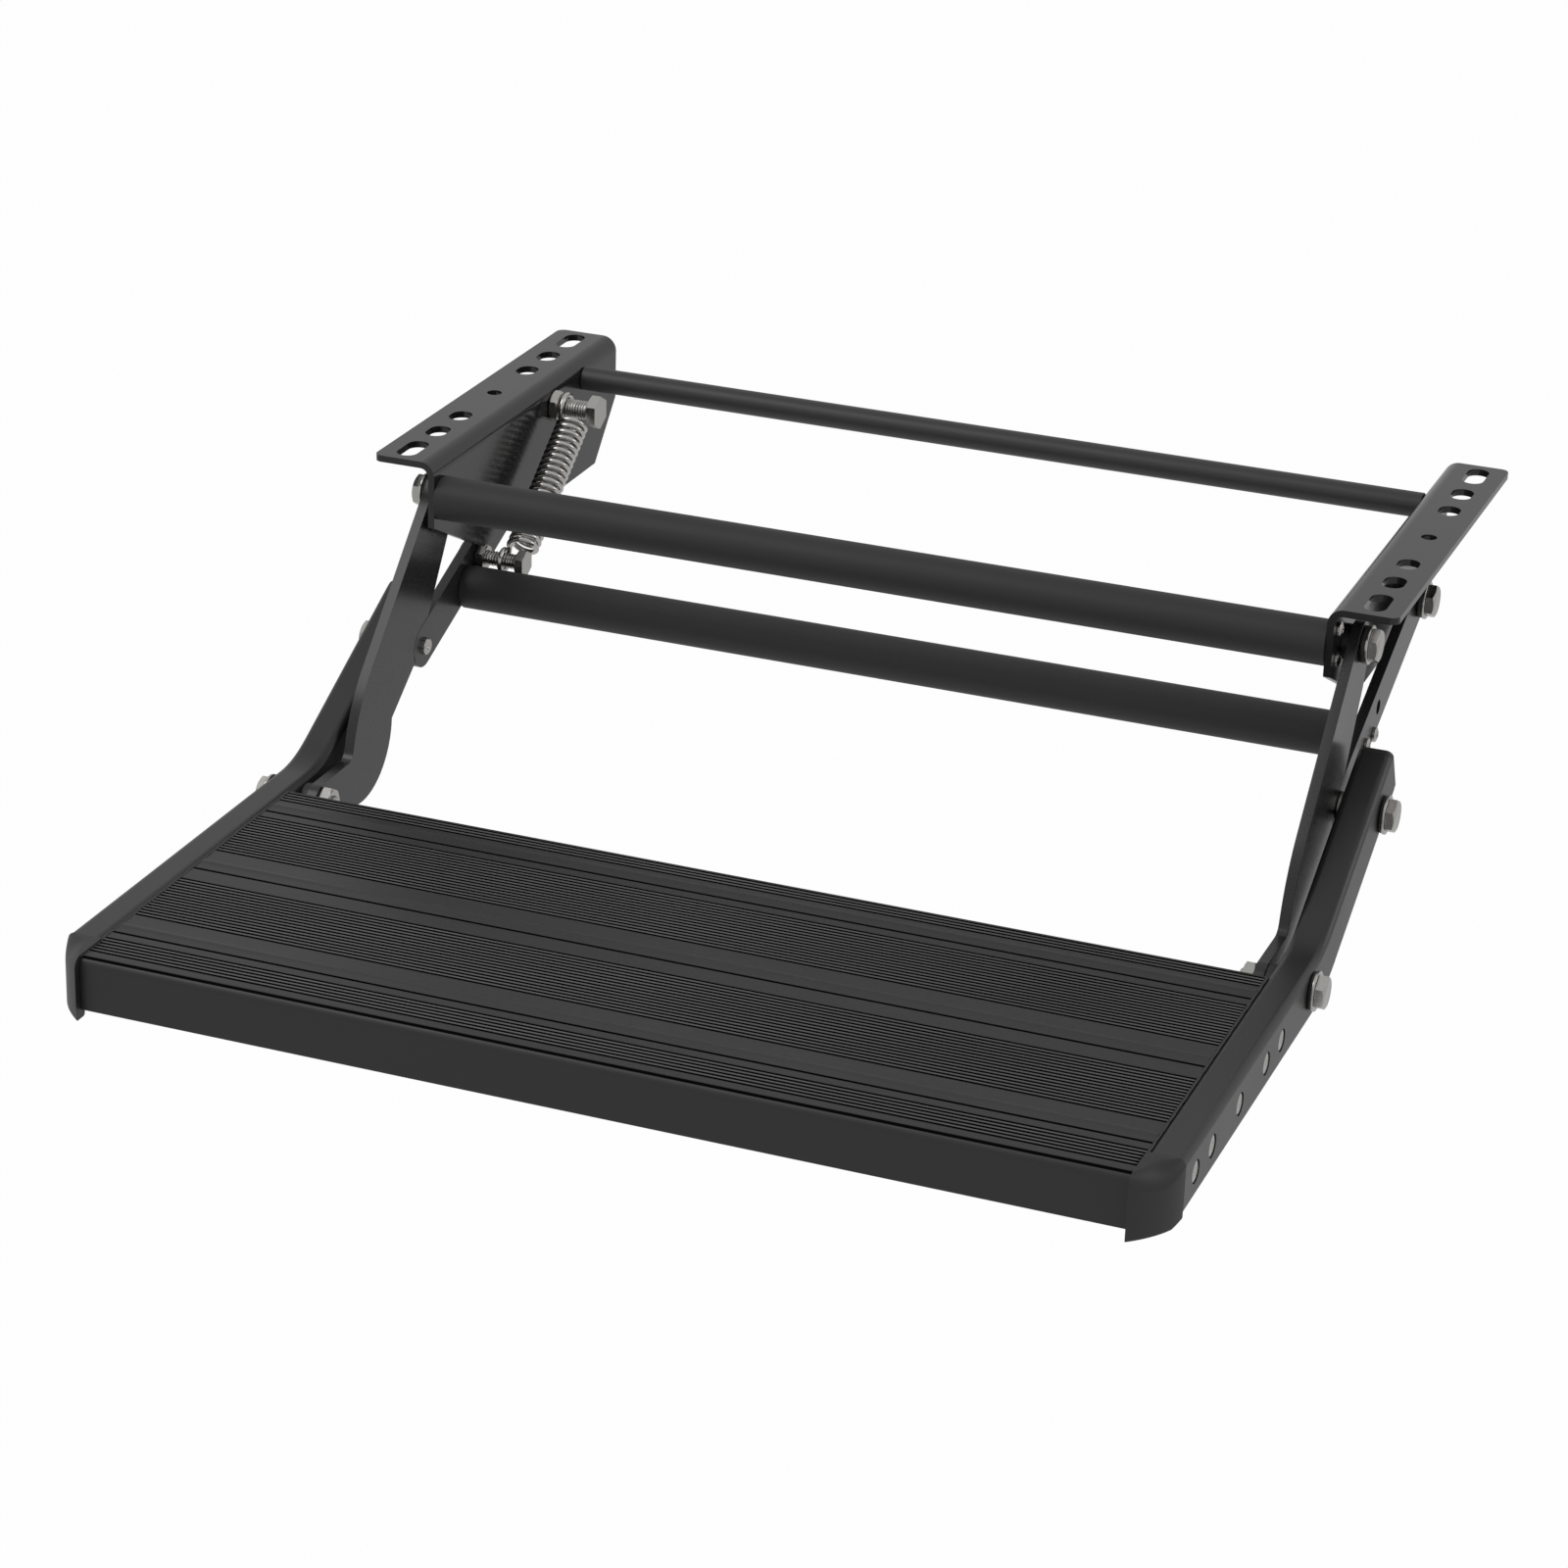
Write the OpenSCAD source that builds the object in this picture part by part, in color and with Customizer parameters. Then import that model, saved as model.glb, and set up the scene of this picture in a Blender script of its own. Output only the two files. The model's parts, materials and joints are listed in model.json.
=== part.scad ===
// Folding entry step for a caravan or motorhome, drawn in its lowered position.
// X runs to the right, -Y to the front where a person steps on, +Z up.
// The origin lies in the mounting plane on top of the two flanges, midway
// between the two small centre holes. All sizes are in millimetres.

/* [Frame brackets] */
// Clear width between the two bracket webs
web_span = 534; // [520:1:560]
// Length of each bracket, front to rear
bracket_len = 267; // [262:1:290]
// Sheet thickness of the brackets
plate_t = 4; // [3.4:0.1:4.3]
// Width of the top flange, bend included
flange_w = 39; // [36:0.5:44]
// Outer radius of the bend between flange and web
bend_r = 9; // [6:0.5:11]
// Radius of the two outer flange corners
flange_corner_r = 5; // [2:0.5:7]
// Drop of the web below the mounting plane
web_h = 74; // [70:1:78]
// Height of the upright front edge of the web, from the mounting plane
web_front_h = 40; // [38:1:46]
// Length of the slope from the front edge to the bottom edge
web_front_run = 68.5; // [60:0.5:74]
// Height of the upright rear edge of the web, from the mounting plane
web_rear_h = 39; // [32:1:44]
// Length of the slope at the rear of the web
web_rear_run = 31.5; // [28:0.5:44]

/* [Mounting slots] */
// Distance from the inner face of the web to the line of slots
slot_line = 23; // [21:0.5:24.5]
// Width of all mounting slots
slot_w = 12.5; // [8.5:0.1:13.5]
// Length of the outermost slots
long_slot_len = 27; // [22:0.5:30]
// Distance of the outermost slots from the centre hole
long_slot_y = 113.9; // [112:0.1:116]
// Length of the middle slots
mid_slot_len = 18.5; // [16:0.5:22]
// Distance of the middle slots from the centre hole
mid_slot_y = 79.5; // [78:0.1:82]
// Length of the innermost slots
near_slot_len = 16.5; // [14:0.5:20]
// Distance of the innermost slots from the centre hole
near_slot_y = 48.2; // [40:0.1:54]
// Diameter of the small centre hole
locator_d = 9; // [5:0.1:12]

/* [Linkage pivots] */
// Front upper pivot, distance in front of the centre hole
front_pivot_back = 105; // [102:0.5:108]
// Front upper pivot, depth below the mounting plane
front_pivot_drop = 28.5; // [26:0.5:31]
// Rear upper pivot, distance behind the centre hole
rear_pivot_back = 32; // [29:0.5:35]
// Rear upper pivot, depth below the mounting plane
rear_pivot_drop = 50; // [48:0.5:52]
// Tread pivot, distance in front of the centre hole
tread_pivot_front = 264; // [261:0.5:267]
// Tread pivot, depth below the mounting plane
tread_pivot_drop = 164; // [161:0.5:167]
// Link pivot at the rear end of the side rail, distance in front
link_pivot_front = 130; // [128:0.5:132]
// Link pivot at the rear end of the side rail, depth
link_pivot_drop = 116; // [114:0.5:118]

/* [Swing arms] */
// Thickness of all four swing arms
arm_t = 6; // [4:0.5:6.5]
// Gap between a bracket web and the swing arms
arm_gap = 4.5; // [4:0.1:6]
// Radius of the front arm round its upper pivot
front_eye_r = 12.5; // [12:0.5:14]
// Radius of the front arm round the tread pivot
foot_eye_r = 11; // [9:0.5:11.5]
// Where the front edge of the front arm starts to curve, behind the tread pivot
elbow_back = 64; // [60:1:68]
// Height of that place above the tread pivot
elbow_up = 58; // [55:1:62]
// Radius of that curve
elbow_r = 93; // [85:1:100]
// Radius of the heel of the front arm
heel_r = 40.5; // [38:0.5:42]
// Centre of the heel behind the tread pivot
heel_back = 50; // [48:0.5:53]
// Centre of the heel above the tread pivot
heel_up = 21; // [19:0.5:23]
// Half width of the rear arm, and radius of its rounded ends
rear_arm_r = 13; // [12:0.5:13.5]
// Gap between the rear arm and its stop seat in the front arm
seat_gap = 0.4; // [0.3:0.05:0.8]
// Distance of the spring hole from the rear upper pivot, along the rear arm
spring_hole_at = 92.9; // [90:0.5:96]

/* [Cross tubes] */
// Outer diameter of the front and the lower cross tube
tube_d = 26; // [24:0.5:27]
// Bore of both tubes
tube_bore = 20.5; // [19:0.5:22]
// Front tube, distance in front of the front upper pivot
front_tube_front = 18; // [17:0.5:18.5]
// Front tube, height above the front upper pivot
front_tube_up = 4.5; // [2:0.5:6]
// Lower tube, distance in front of the rear upper pivot
lower_tube_front = 102; // [100:0.5:105]
// Lower tube, depth below the rear upper pivot
lower_tube_drop = 49; // [47:0.5:51]
// Diameter of the plain rear cross rod
rod_d = 15; // [12:0.5:16]
// Rear cross rod, distance behind the centre hole
rod_back = 84; // [78:1:90]
// Gap between the top of the rear cross rod and the mounting plane
rod_below = 4.6; // [4.3:0.1:12]
// Distance of the two end screws of a tube from its middle
tube_screw_r = 8.8; // [8:0.1:9]

/* [Pivot bolts] */
// Shank diameter of the pivot bolts
bolt_d = 10; // [8:0.5:10.5]
// Width across the flats of the pivot bolts and nuts
bolt_af = 17; // [15:0.5:18]
// Height of the bolt heads
bolt_head_h = 5; // [4:0.1:6.4]
// Thickness of the lower pivot nuts
nut_h = 6.4; // [5:0.1:8]
// Outer diameter of the washers
washer_d = 22; // [20:0.5:24]
// Thickness of the washers
washer_t = 1.6; // [1.2:0.1:2]
// Outer diameter of the flange of the plastic bushes
bush_flange_d = 21; // [18:0.5:22]
// Thickness of that flange at the upper pivots
upper_bush_t = 2.6; // [2:0.1:3.2]
// Thickness of that flange at the side rails
lower_bush_t = 1.2; // [0.8:0.1:2]
// Outer diameter of the sleeve of the plastic bushes
bush_d = 14; // [13:0.5:15]
// Outer diameter of the spacer rings
spacer_d = 20; // [18:0.5:21]

/* [Tread board] */
// Depth of the tread board, front to rear
tread_depth = 239; // [235:1:252]
// Height of the tread board
tread_h = 30; // [28:0.5:32]
// Gap from the tread pivot to the rear edge of the tread board
tread_gap = 20; // [18:0.5:24]
// Top of the tread board above the tread pivot
tread_up = 13; // [12:0.5:14]
// Wall thickness of the tread extrusion
tread_wall = 2.8; // [2.4:0.1:3.2]
// Distance between two neighbouring grip grooves
groove_pitch = 3.35; // [3.1:0.05:3.5]
// Width of a grip groove at the top
groove_w = 1.9; // [1.2:0.1:2.2]
// Depth of the grip grooves
groove_h = 1.5; // [0.8:0.1:1.7]
// Number of grooves in each wide grip field
wide_field_grooves = 16; // [12:1:16]
// Radius of the front upper edge of the tread board
nose_r = 5; // [3:0.5:6]

/* [Side rails] */
// Width of a side rail
rail_w = 20; // [18:0.5:22]
// Height of a side rail
rail_h = 32; // [30:0.5:33]
// Wall thickness of the side rails
rail_wall = 2; // [1.5:0.1:2.5]
// Corner radius of the rail section
rail_corner_r = 4.5; // [3:0.5:6]
// Angle at which the rear part of the rail climbs, degrees
rail_climb = 27.5; // [26.5:0.25:28.5]
// Middle radius of the bend in the rail
rail_bend_r = 85; // [78:1:92]
// Distance of the rail middle line below the tread pivot
rail_drop = 2.5; // [1.5:0.5:3.5]
// Start of the bend, measured forward of the tread pivot
rail_bend_front = -4; // [-6:1:0]
// Length of the straight climbing part of the rail
rail_tail = 124; // [118:1:128]
// Diameter of the heads of the rail screws
rail_screw_head = 9; // [8:0.5:10]

/* [Front caps] */
// Outer corner radius of the front caps, seen from above
cap_r = 20; // [12:0.5:20.5]
// Height of the front caps
cap_h = 38; // [35:0.5:40]
// How far the caps stand in front of the tread board
cap_ahead = 5; // [3:0.5:7]
// Wall that the caps lay over the outside of the rails
cap_lip = 2; // [1.5:0.1:3]

/* [Spring] */
// Wire diameter of the spring
wire_d = 3.2; // [2.6:0.1:3.4]
// Outer diameter of the coil
coil_d = 18; // [16:0.5:18.5]
// Number of turns
coil_turns = 19; // [16:1:20]
// Length of the coiled part
coil_len = 94; // [90:1:96]
// Distance of the spring plane from the left web
spring_gap = 10; // [9.5:0.1:12]
// Upper spring bolt, distance behind the rear upper pivot
anchor_back = 5; // [3:0.5:8]
// Upper spring bolt, height above the rear upper pivot
anchor_up = 34; // [31:0.5:35]
// Diameter of the spring bolts
anchor_d = 8; // [6:0.5:8]
// Width across the flats of the spring bolts and nuts
anchor_af = 13; // [11:0.5:14]
// Height of their heads
anchor_head_h = 5.3; // [4:0.1:6]

/* [Fits] */
// Radial clearance of a bolt in its hole
bolt_fit = 0.25; // [0.15:0.05:0.35]
// Gap between faces that rub or meet
face_gap = 0.2; // [0.15:0.05:0.3]
// Radial clearance of a turning arm on its bush or bolt
pivot_fit = 0.3; // [0.25:0.05:0.45]

/* [View] */
// Piece to build, or all

/* [Hidden] */
$fn = 48;

// Pivot places in the side view, each as [Y, Z].
front_pivot = [-front_pivot_back, -front_pivot_drop];
rear_pivot = [rear_pivot_back, -rear_pivot_drop];
tread_pivot = [-tread_pivot_front, -tread_pivot_drop];
link_pivot = [-link_pivot_front, -link_pivot_drop];
link_len = norm(link_pivot - rear_pivot);
link_dir = (link_pivot - rear_pivot) / link_len;
spring_hole = rear_pivot + link_dir * spring_hole_at;
spring_anchor = rear_pivot + [anchor_back, anchor_up];
front_tube = front_pivot + [-front_tube_front, front_tube_up];
lower_tube = rear_pivot - [lower_tube_front, lower_tube_drop];
rear_rod = [rod_back, -rod_below - rod_d / 2];

// Planes across the step, each as a distance from the middle.
web_in = web_span / 2;
web_out = web_in + plate_t;
arm_in = web_out + arm_gap;
arm_out = arm_in + arm_t;
rail_in = arm_out + arm_gap;
rail_out = rail_in + rail_w;
slot_x = web_in + slot_line;
spring_x = web_in - spring_gap;

// Small sizes that follow common fasteners.
screw_d = 4.4;
screw_head_d = 8.6;
screw_head_h = 2.8;
recess_w = 1;
recess_len = 4.6;
recess_deep = 1.4;
boss_d = 9;
jam_nut_h = 4;

// Heights and lengths of the tread board and rails.
tread_rear = tread_pivot[0] - tread_gap;
tread_front = tread_rear - tread_depth;
tread_top = tread_pivot[1] + tread_up;
tread_half = rail_in - face_gap;
rail_z = tread_pivot[1] - rail_drop;
// The climbing tail is this much smaller all round and starts this far inside the bend, to join it as one solid.
tail_less = 0.05;
tail_lap = 1;
bend_y = tread_pivot[0] - rail_bend_front;
bend_z = rail_z + rail_bend_r;
cap_front = tread_front - cap_ahead;
rail_front = cap_front + 30;
end_cap_t = 3;
rail_screw_z = rail_z;
// Middle screw boss, measured from the front face of the tread board, and the two pairs beside it.
boss_middle = tread_depth / 2 + 2.5;
boss_near = 49;
boss_far = 78;
boss_list = [-boss_far, -boss_near, 0, boss_near, boss_far];

function ring_point(centre, radius, angle) = centre + radius * [cos(angle), sin(angle)];
function arc(centre, radius, from, to, steps) =
    [for (i = [0 : steps]) ring_point(centre, radius, from + (to - from) * i / steps)];
function unit(v) = v / norm(v);

// Lays a side view drawing, X to the rear and Y up, into the step at one plane.
module side_view(plane, thick) {
    translate([plane, 0, 0]) rotate([90, 0, 90]) linear_extrude(height = thick) children();
}

// A round bar along X between two planes at a place of the side view.
module bar_x(from, to, place, d) {
    translate([from, place[0], place[1]]) rotate([0, 90, 0]) cylinder(h = to - from, d = d);
}

// A hexagon along X between two planes at a place of the side view.
module hex_x(from, to, place, across) {
    translate([from, place[0], place[1]]) rotate([0, 90, 0]) rotate([0, 0, 30])
        cylinder(h = to - from, d = across / cos(30), $fn = 6);
}

// A flat ring along X between two planes.
module ring_x(from, to, place, d, bore) {
    difference() {
        bar_x(from, to, place, d);
        bar_x(from - 1, to + 1, place, bore);
    }
}

module both_sides() {
    children();
    mirror([1, 0, 0]) children();
}

// Rectangle with round corners, centred.
module round_box(w, h, r) {
    square([w - 2 * r, h], center = true);
    square([w, h - 2 * r], center = true);
    for (sx = [-1, 1]) for (sy = [-1, 1])
        translate([sx * (w / 2 - r), sy * (h / 2 - r)]) circle(r = r);
}

// Cross shaped driver recess that opens towards +X at one plane.
module driver_recess(plane, place) {
    translate([plane - recess_deep, place[0], place[1]]) rotate([45, 0, 0]) {
        translate([0, -recess_w / 2, -recess_len / 2]) cube([recess_deep + 1, recess_w, recess_len]);
        translate([0, -recess_len / 2, -recess_w / 2]) cube([recess_deep + 1, recess_len, recess_w]);
    }
}

// Screw with a low domed head that sits on a plane and points inwards.
module pan_screw(plane, place, reach) {
    difference() {
        union() {
            bar_x(plane - reach, plane + 0.5, place, screw_d - 0.4);
            translate([plane + face_gap / 2, place[0], place[1]]) rotate([0, 90, 0])
                cylinder(h = screw_head_h * 0.55, d = screw_head_d);
            translate([plane + face_gap / 2 + screw_head_h * 0.55, place[0], place[1]]) rotate([0, 90, 0])
                cylinder(h = screw_head_h * 0.45, d1 = screw_head_d, d2 = screw_head_d * 0.62);
        }
        driver_recess(plane + face_gap / 2 + screw_head_h, place);
    }
}

// Places of the two end screws of the front tube, one above the other.
function front_screws() = [for (s = [-1, 1]) front_tube + [0, s * tube_screw_r]];
// Places of the two end screws of the lower tube, one behind the other.
function lower_screws() = [for (s = [-1, 1]) lower_tube + [s * tube_screw_r, 0]];

module slot_hole(place_y, len) {
    translate([slot_x, place_y, -plate_t - 1]) {
        for (s = [-1, 1]) translate([0, s * (len - slot_w) / 2, 0]) cylinder(h = plate_t + 2, d = slot_w);
        translate([-slot_w / 2, -(len - slot_w) / 2, 0]) cube([slot_w, len - slot_w, plate_t + 2]);
    }
}

// Everything below the web outline, which is cut away from the bent sheet.
module web_cut() {
    half = bracket_len / 2;
    low = web_h + 10;
    polygon([[-half - 5, -web_front_h], [-half, -web_front_h], [-half + web_front_run, -web_h],
        [half - web_rear_run, -web_h], [half, -web_rear_h], [half + 5, -web_rear_h],
        [half + 5, -low], [-half - 5, -low]]);
}

module bracket() {
    half = bracket_len / 2;
    difference() {
        translate([web_in, half, 0]) rotate([90, 0, 0]) linear_extrude(height = bracket_len) {
            translate([bend_r, -plate_t]) square([flange_w - bend_r, plate_t]);
            translate([0, -web_h]) square([plate_t, web_h - bend_r]);
            intersection() {
                translate([bend_r, -bend_r]) difference() {
                    circle(r = bend_r);
                    circle(r = bend_r - plate_t);
                }
                translate([0, -bend_r]) square([bend_r, bend_r]);
            }
        }
        side_view(web_in - 1, plate_t + 2) web_cut();
        for (s = [-1, 1]) {
            slot_hole(s * long_slot_y, long_slot_len);
            slot_hole(s * mid_slot_y, mid_slot_len);
            slot_hole(s * near_slot_y, near_slot_len);
            translate([web_in + flange_w - flange_corner_r, s * (half - flange_corner_r), -plate_t - 1])
                mirror([0, s > 0 ? 0 : 1, 0]) difference() {
                    cube([flange_corner_r + 1, flange_corner_r + 1, plate_t + 2]);
                    translate([0, 0, -1]) cylinder(h = plate_t + 4, r = flange_corner_r);
                }
        }
        translate([slot_x, 0, -plate_t - 1]) cylinder(h = plate_t + 2, d = locator_d);
        for (p = [front_pivot, rear_pivot]) bar_x(web_in - 1, web_out + 1, p, bolt_d + 2 * bolt_fit);
        for (p = front_screws()) bar_x(web_in - 1, web_out + 1, p, screw_d);
    }
}

module bracket_left() {
    color([0.2, 0.2, 0.21]) difference() {
        mirror([1, 0, 0]) bracket();
        bar_x(-web_out - 1, -web_in + 1, spring_anchor, anchor_d + 2 * bolt_fit);
    }
}

module bracket_right() {
    color([0.2, 0.2, 0.21]) bracket();
}

module rear_cross_rod() {
    color([0.26, 0.26, 0.27]) bar_x(-web_in + face_gap, web_in - face_gap, rear_rod, rod_d);
}

// Tube along X with two screw ports in its bore, turned to suit the screws.
module ported_tube(half_len, place, turn) {
    translate([-half_len, place[0], place[1]]) rotate([turn, 0, 0]) rotate([90, 0, 90])
        linear_extrude(height = 2 * half_len) difference() {
            union() {
                difference() {
                    circle(d = tube_d);
                    circle(d = tube_bore);
                }
                for (s = [-1, 1]) intersection() {
                    translate([s * tube_screw_r, 0]) circle(d = screw_d + 3.4);
                    circle(d = tube_d - 1);
                }
            }
            for (s = [-1, 1]) translate([s * tube_screw_r, 0]) circle(d = screw_d);
        }
}

module front_cross_tube() {
    color([0.3, 0.3, 0.31]) ported_tube(web_in - face_gap, front_tube, 90);
}

module front_tube_screws() {
    color([0.8, 0.8, 0.8]) both_sides() for (p = front_screws()) pan_screw(web_out, p, 18);
}

module upper_pivot_bolts() {
    head_in = arm_out + 2 * face_gap + upper_bush_t + washer_t + face_gap;
    color([0.82, 0.82, 0.8]) both_sides() for (p = [front_pivot, rear_pivot]) {
        hex_x(head_in, head_in + bolt_head_h, p, bolt_af);
        bar_x(web_in, head_in + 0.5, p, bolt_d);
    }
}

module upper_pivot_washers() {
    from = arm_out + 2 * face_gap + upper_bush_t;
    color([0.85, 0.85, 0.84]) both_sides() for (p = [front_pivot, rear_pivot])
        ring_x(from, from + washer_t, p, washer_d, bolt_d + 2 * bolt_fit);
}

module upper_pivot_bushes() {
    color([0.07, 0.07, 0.07]) both_sides() for (p = [front_pivot, rear_pivot]) difference() {
        union() {
            bar_x(arm_out + 1.5 * face_gap, arm_out + 1.5 * face_gap + upper_bush_t, p, bush_flange_d);
            bar_x(arm_in, arm_out + 2 * face_gap, p, bush_d);
        }
        bar_x(arm_in - 1, arm_out + upper_bush_t + 5, p, bolt_d + 2 * bolt_fit);
    }
}

module upper_pivot_spacers() {
    color([0.07, 0.07, 0.07]) both_sides() for (p = [front_pivot, rear_pivot])
        ring_x(web_out + face_gap, arm_in - 1.5 * face_gap, p, spacer_d, bolt_d + 2 * bolt_fit);
}

module spring_upper_bolt() {
    head_out = spring_x - wire_d / 2 - 17;
    color([0.82, 0.82, 0.8]) mirror([1, 0, 0]) {
        hex_x(head_out - anchor_head_h, head_out, spring_anchor, anchor_af);
        bar_x(head_out - 0.5, web_out, spring_anchor, anchor_d);
    }
}

module spring_upper_nut() {
    color([0.85, 0.85, 0.83]) mirror([1, 0, 0]) difference() {
        hex_x(web_in - face_gap - jam_nut_h - 1.5, web_in - face_gap, spring_anchor, anchor_af);
        bar_x(web_in - 12, web_in, spring_anchor, anchor_d + 2 * bolt_fit);
    }
}

// Middle line of the spring wire: lower hook, coil and upper hook.
spring_len = norm(spring_anchor - spring_hole);
spring_up = unit([0, spring_anchor[0] - spring_hole[0], spring_anchor[1] - spring_hole[1]]);
spring_side = cross([1, 0, 0], spring_up);
coil_r = (coil_d - wire_d) / 2;
hook_r = anchor_d / 2 + wire_d / 2 + face_gap;
hook_steps = 12;
turn_steps = 12;
low_point = [-spring_x, spring_hole[0], spring_hole[1]];
high_point = [-spring_x, spring_anchor[0], spring_anchor[1]];
coil_start = (spring_len - coil_len) / 2;
function spun(angle) = coil_r * (cos(angle) * spring_side + sin(angle) * [1, 0, 0]);
coil_path = [for (i = [0 : coil_turns * turn_steps])
    low_point + spring_up * (coil_start + coil_len * i / (coil_turns * turn_steps))
        + spun(360 * i / turn_steps)];
function hook_spot(angle) = hook_r * (cos(angle) * spring_side - sin(angle) * spring_up);
low_hook = [for (i = [hook_steps : -1 : 0]) low_point + hook_spot(250 * i / hook_steps - 20)];
high_hook = [for (i = [0 : hook_steps]) high_point
    + hook_r * (cos(250 * i / hook_steps - 20) * spring_side + sin(250 * i / hook_steps - 20) * spring_up)];
wire_path = concat(low_hook, coil_path, high_hook);
last = len(wire_path) - 1;
wire_run = [for (i = [0 : last]) unit(wire_path[min(i + 1, last)] - wire_path[max(i - 1, 0)])];
function squared(n, t) = unit(n - (n * t) * t);
wire_normal = [for (i = 0, n = squared([1, 0, 0], wire_run[0]); i <= last;
    i = i + 1, n = i <= last ? squared(n, wire_run[i]) : n) n];
wire_sides = 7;
wire_skin = [for (i = [0 : last]) for (k = [0 : wire_sides - 1])
    wire_path[i] + wire_d / 2 * (cos(360 * k / wire_sides) * wire_normal[i]
        + sin(360 * k / wire_sides) * cross(wire_run[i], wire_normal[i]))];

module extension_spring() {
    count = wire_sides;
    color([0.8, 0.8, 0.79]) polyhedron(points = wire_skin, faces = concat(
        [[for (k = [0 : count - 1]) k]],
        [for (i = [0 : last - 1]) for (k = [0 : count - 1])
            [i * count + k, (i + 1) * count + k, (i + 1) * count + (k + 1) % count]],
        [for (i = [0 : last - 1]) for (k = [0 : count - 1])
            [i * count + k, (i + 1) * count + (k + 1) % count, i * count + (k + 1) % count]],
        [[for (k = [count - 1 : -1 : 0]) last * count + k]]));
}

// Outline of the front arm: straight shank, curved elbow, foot with its eye and heel.
elbow = tread_pivot + [elbow_back, elbow_up];
shank_angle = atan2(elbow[1] - front_pivot[1], elbow[0] - front_pivot[0]) + 360
    + asin(front_eye_r / norm(elbow - front_pivot));
elbow_centre = elbow - elbow_r * [cos(shank_angle - 90), sin(shank_angle - 90)];
elbow_end = shank_angle - 60;
ankle = ring_point(elbow_centre, elbow_r, elbow_end);
notch_r = (ankle[1] - tread_pivot[1] - foot_eye_r) / (1 - sin(elbow_end));
notch_centre = ring_point(ankle, notch_r, elbow_end);
heel = tread_pivot + [heel_back, heel_up];
sole_angle = atan2(heel_up, heel_back) - asin((heel_r - foot_eye_r) / norm([heel_back, heel_up])) - 90;
shoulder = link_pivot + [-6, -2];
waist = front_pivot + [8, -28.5];

module front_arm_outline() {
    polygon(concat([ring_point(front_pivot, front_eye_r, shank_angle - 90)],
        arc(elbow_centre, elbow_r, shank_angle - 90, elbow_end, 10),
        arc(notch_centre, notch_r, elbow_end - 180, -90, 8),
        [tread_pivot + [0, foot_eye_r]],
        [ring_point(tread_pivot, foot_eye_r, sole_angle)],
        arc(heel, heel_r, sole_angle, -4, 16),
        [shoulder, waist, front_pivot + [front_eye_r, -17.5], front_pivot + [front_eye_r, 0]]));
    translate(front_pivot) circle(r = front_eye_r);
    translate(tread_pivot) circle(r = foot_eye_r);
}

// Outline of the rear arm, grown by a gap where it cuts the stop seat.
module rear_arm_outline(grow) {
    r = rear_arm_r + grow;
    translate(link_pivot) circle(r = r);
    translate(rear_pivot) circle(r = r);
    translate(rear_pivot) rotate(atan2(link_dir[1], link_dir[0])) translate([0, -r]) square([link_len, 2 * r]);
}

module front_arm() {
    side_view(arm_in, arm_t) difference() {
        front_arm_outline();
        rear_arm_outline(seat_gap);
        translate(link_pivot - [rear_arm_r + seat_gap, 60]) square([2 * rear_arm_r, 60]);
        translate(front_pivot) circle(d = bush_d + 2 * pivot_fit);
        translate(tread_pivot) circle(d = bolt_d + 2 * pivot_fit);
    }
}

module front_arm_left() {
    color([0.3, 0.3, 0.31]) mirror([1, 0, 0]) front_arm();
}

module front_arm_right() {
    color([0.3, 0.3, 0.31]) front_arm();
}

module rear_arm() {
    side_view(arm_in, arm_t) difference() {
        rear_arm_outline(0);
        translate(rear_pivot) circle(d = bush_d + 2 * pivot_fit);
        translate(link_pivot) circle(d = bolt_d + 2 * bolt_fit);
        translate(spring_hole) circle(d = anchor_d + 2 * bolt_fit);
        for (p = lower_screws()) translate(p) circle(d = screw_d);
    }
}

module rear_arm_left() {
    color([0.36, 0.36, 0.37]) mirror([1, 0, 0]) rear_arm();
}

module rear_arm_right() {
    color([0.36, 0.36, 0.37]) rear_arm();
}

module lower_cross_tube() {
    color([0.3, 0.3, 0.31]) ported_tube(arm_in - 1.5 * face_gap, lower_tube, 0);
}

module lower_tube_screws() {
    color([0.8, 0.8, 0.8]) both_sides() for (p = lower_screws()) pan_screw(arm_out, p, 20);
}

module rear_arm_pins() {
    color([0.8, 0.8, 0.79]) both_sides() difference() {
        union() {
            bar_x(arm_in - 3, arm_out + 1, link_pivot, bolt_d);
            bar_x(arm_out + face_gap, rail_in - 2 * face_gap, link_pivot, spacer_d - 2);
        }
        translate([arm_in - 3.5, link_pivot[0], link_pivot[1]]) rotate([0, 90, 0])
            cylinder(h = 1.6, d1 = 5, d2 = 1.5);
    }
}

module spring_lower_bolt() {
    head_out = spring_x - wire_d / 2 - 8.5;
    color([0.82, 0.82, 0.8]) mirror([1, 0, 0]) {
        hex_x(head_out - anchor_head_h, head_out, spring_hole, anchor_af);
        bar_x(head_out - 0.5, arm_out + jam_nut_h + 1, spring_hole, anchor_d);
    }
}

module spring_lower_nuts() {
    color([0.85, 0.85, 0.83]) mirror([1, 0, 0]) difference() {
        union() {
            hex_x(arm_in - face_gap - jam_nut_h - 2, arm_in - face_gap, spring_hole, anchor_af);
            hex_x(arm_out + face_gap, arm_out + face_gap + jam_nut_h, spring_hole, anchor_af);
        }
        bar_x(arm_in - 12, arm_out + 12, spring_hole, anchor_d + 2 * bolt_fit);
    }
}

// One grip groove in the top of the tread, at a distance from its rear edge.
module groove(at, w, deep) {
    translate([tread_rear - at, tread_top])
        polygon([[-w / 2, 0.5], [w / 2, 0.5], [w / 2, 0], [w / 3, -deep], [-w / 3, -deep], [-w / 2, 0]]);
}

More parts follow.
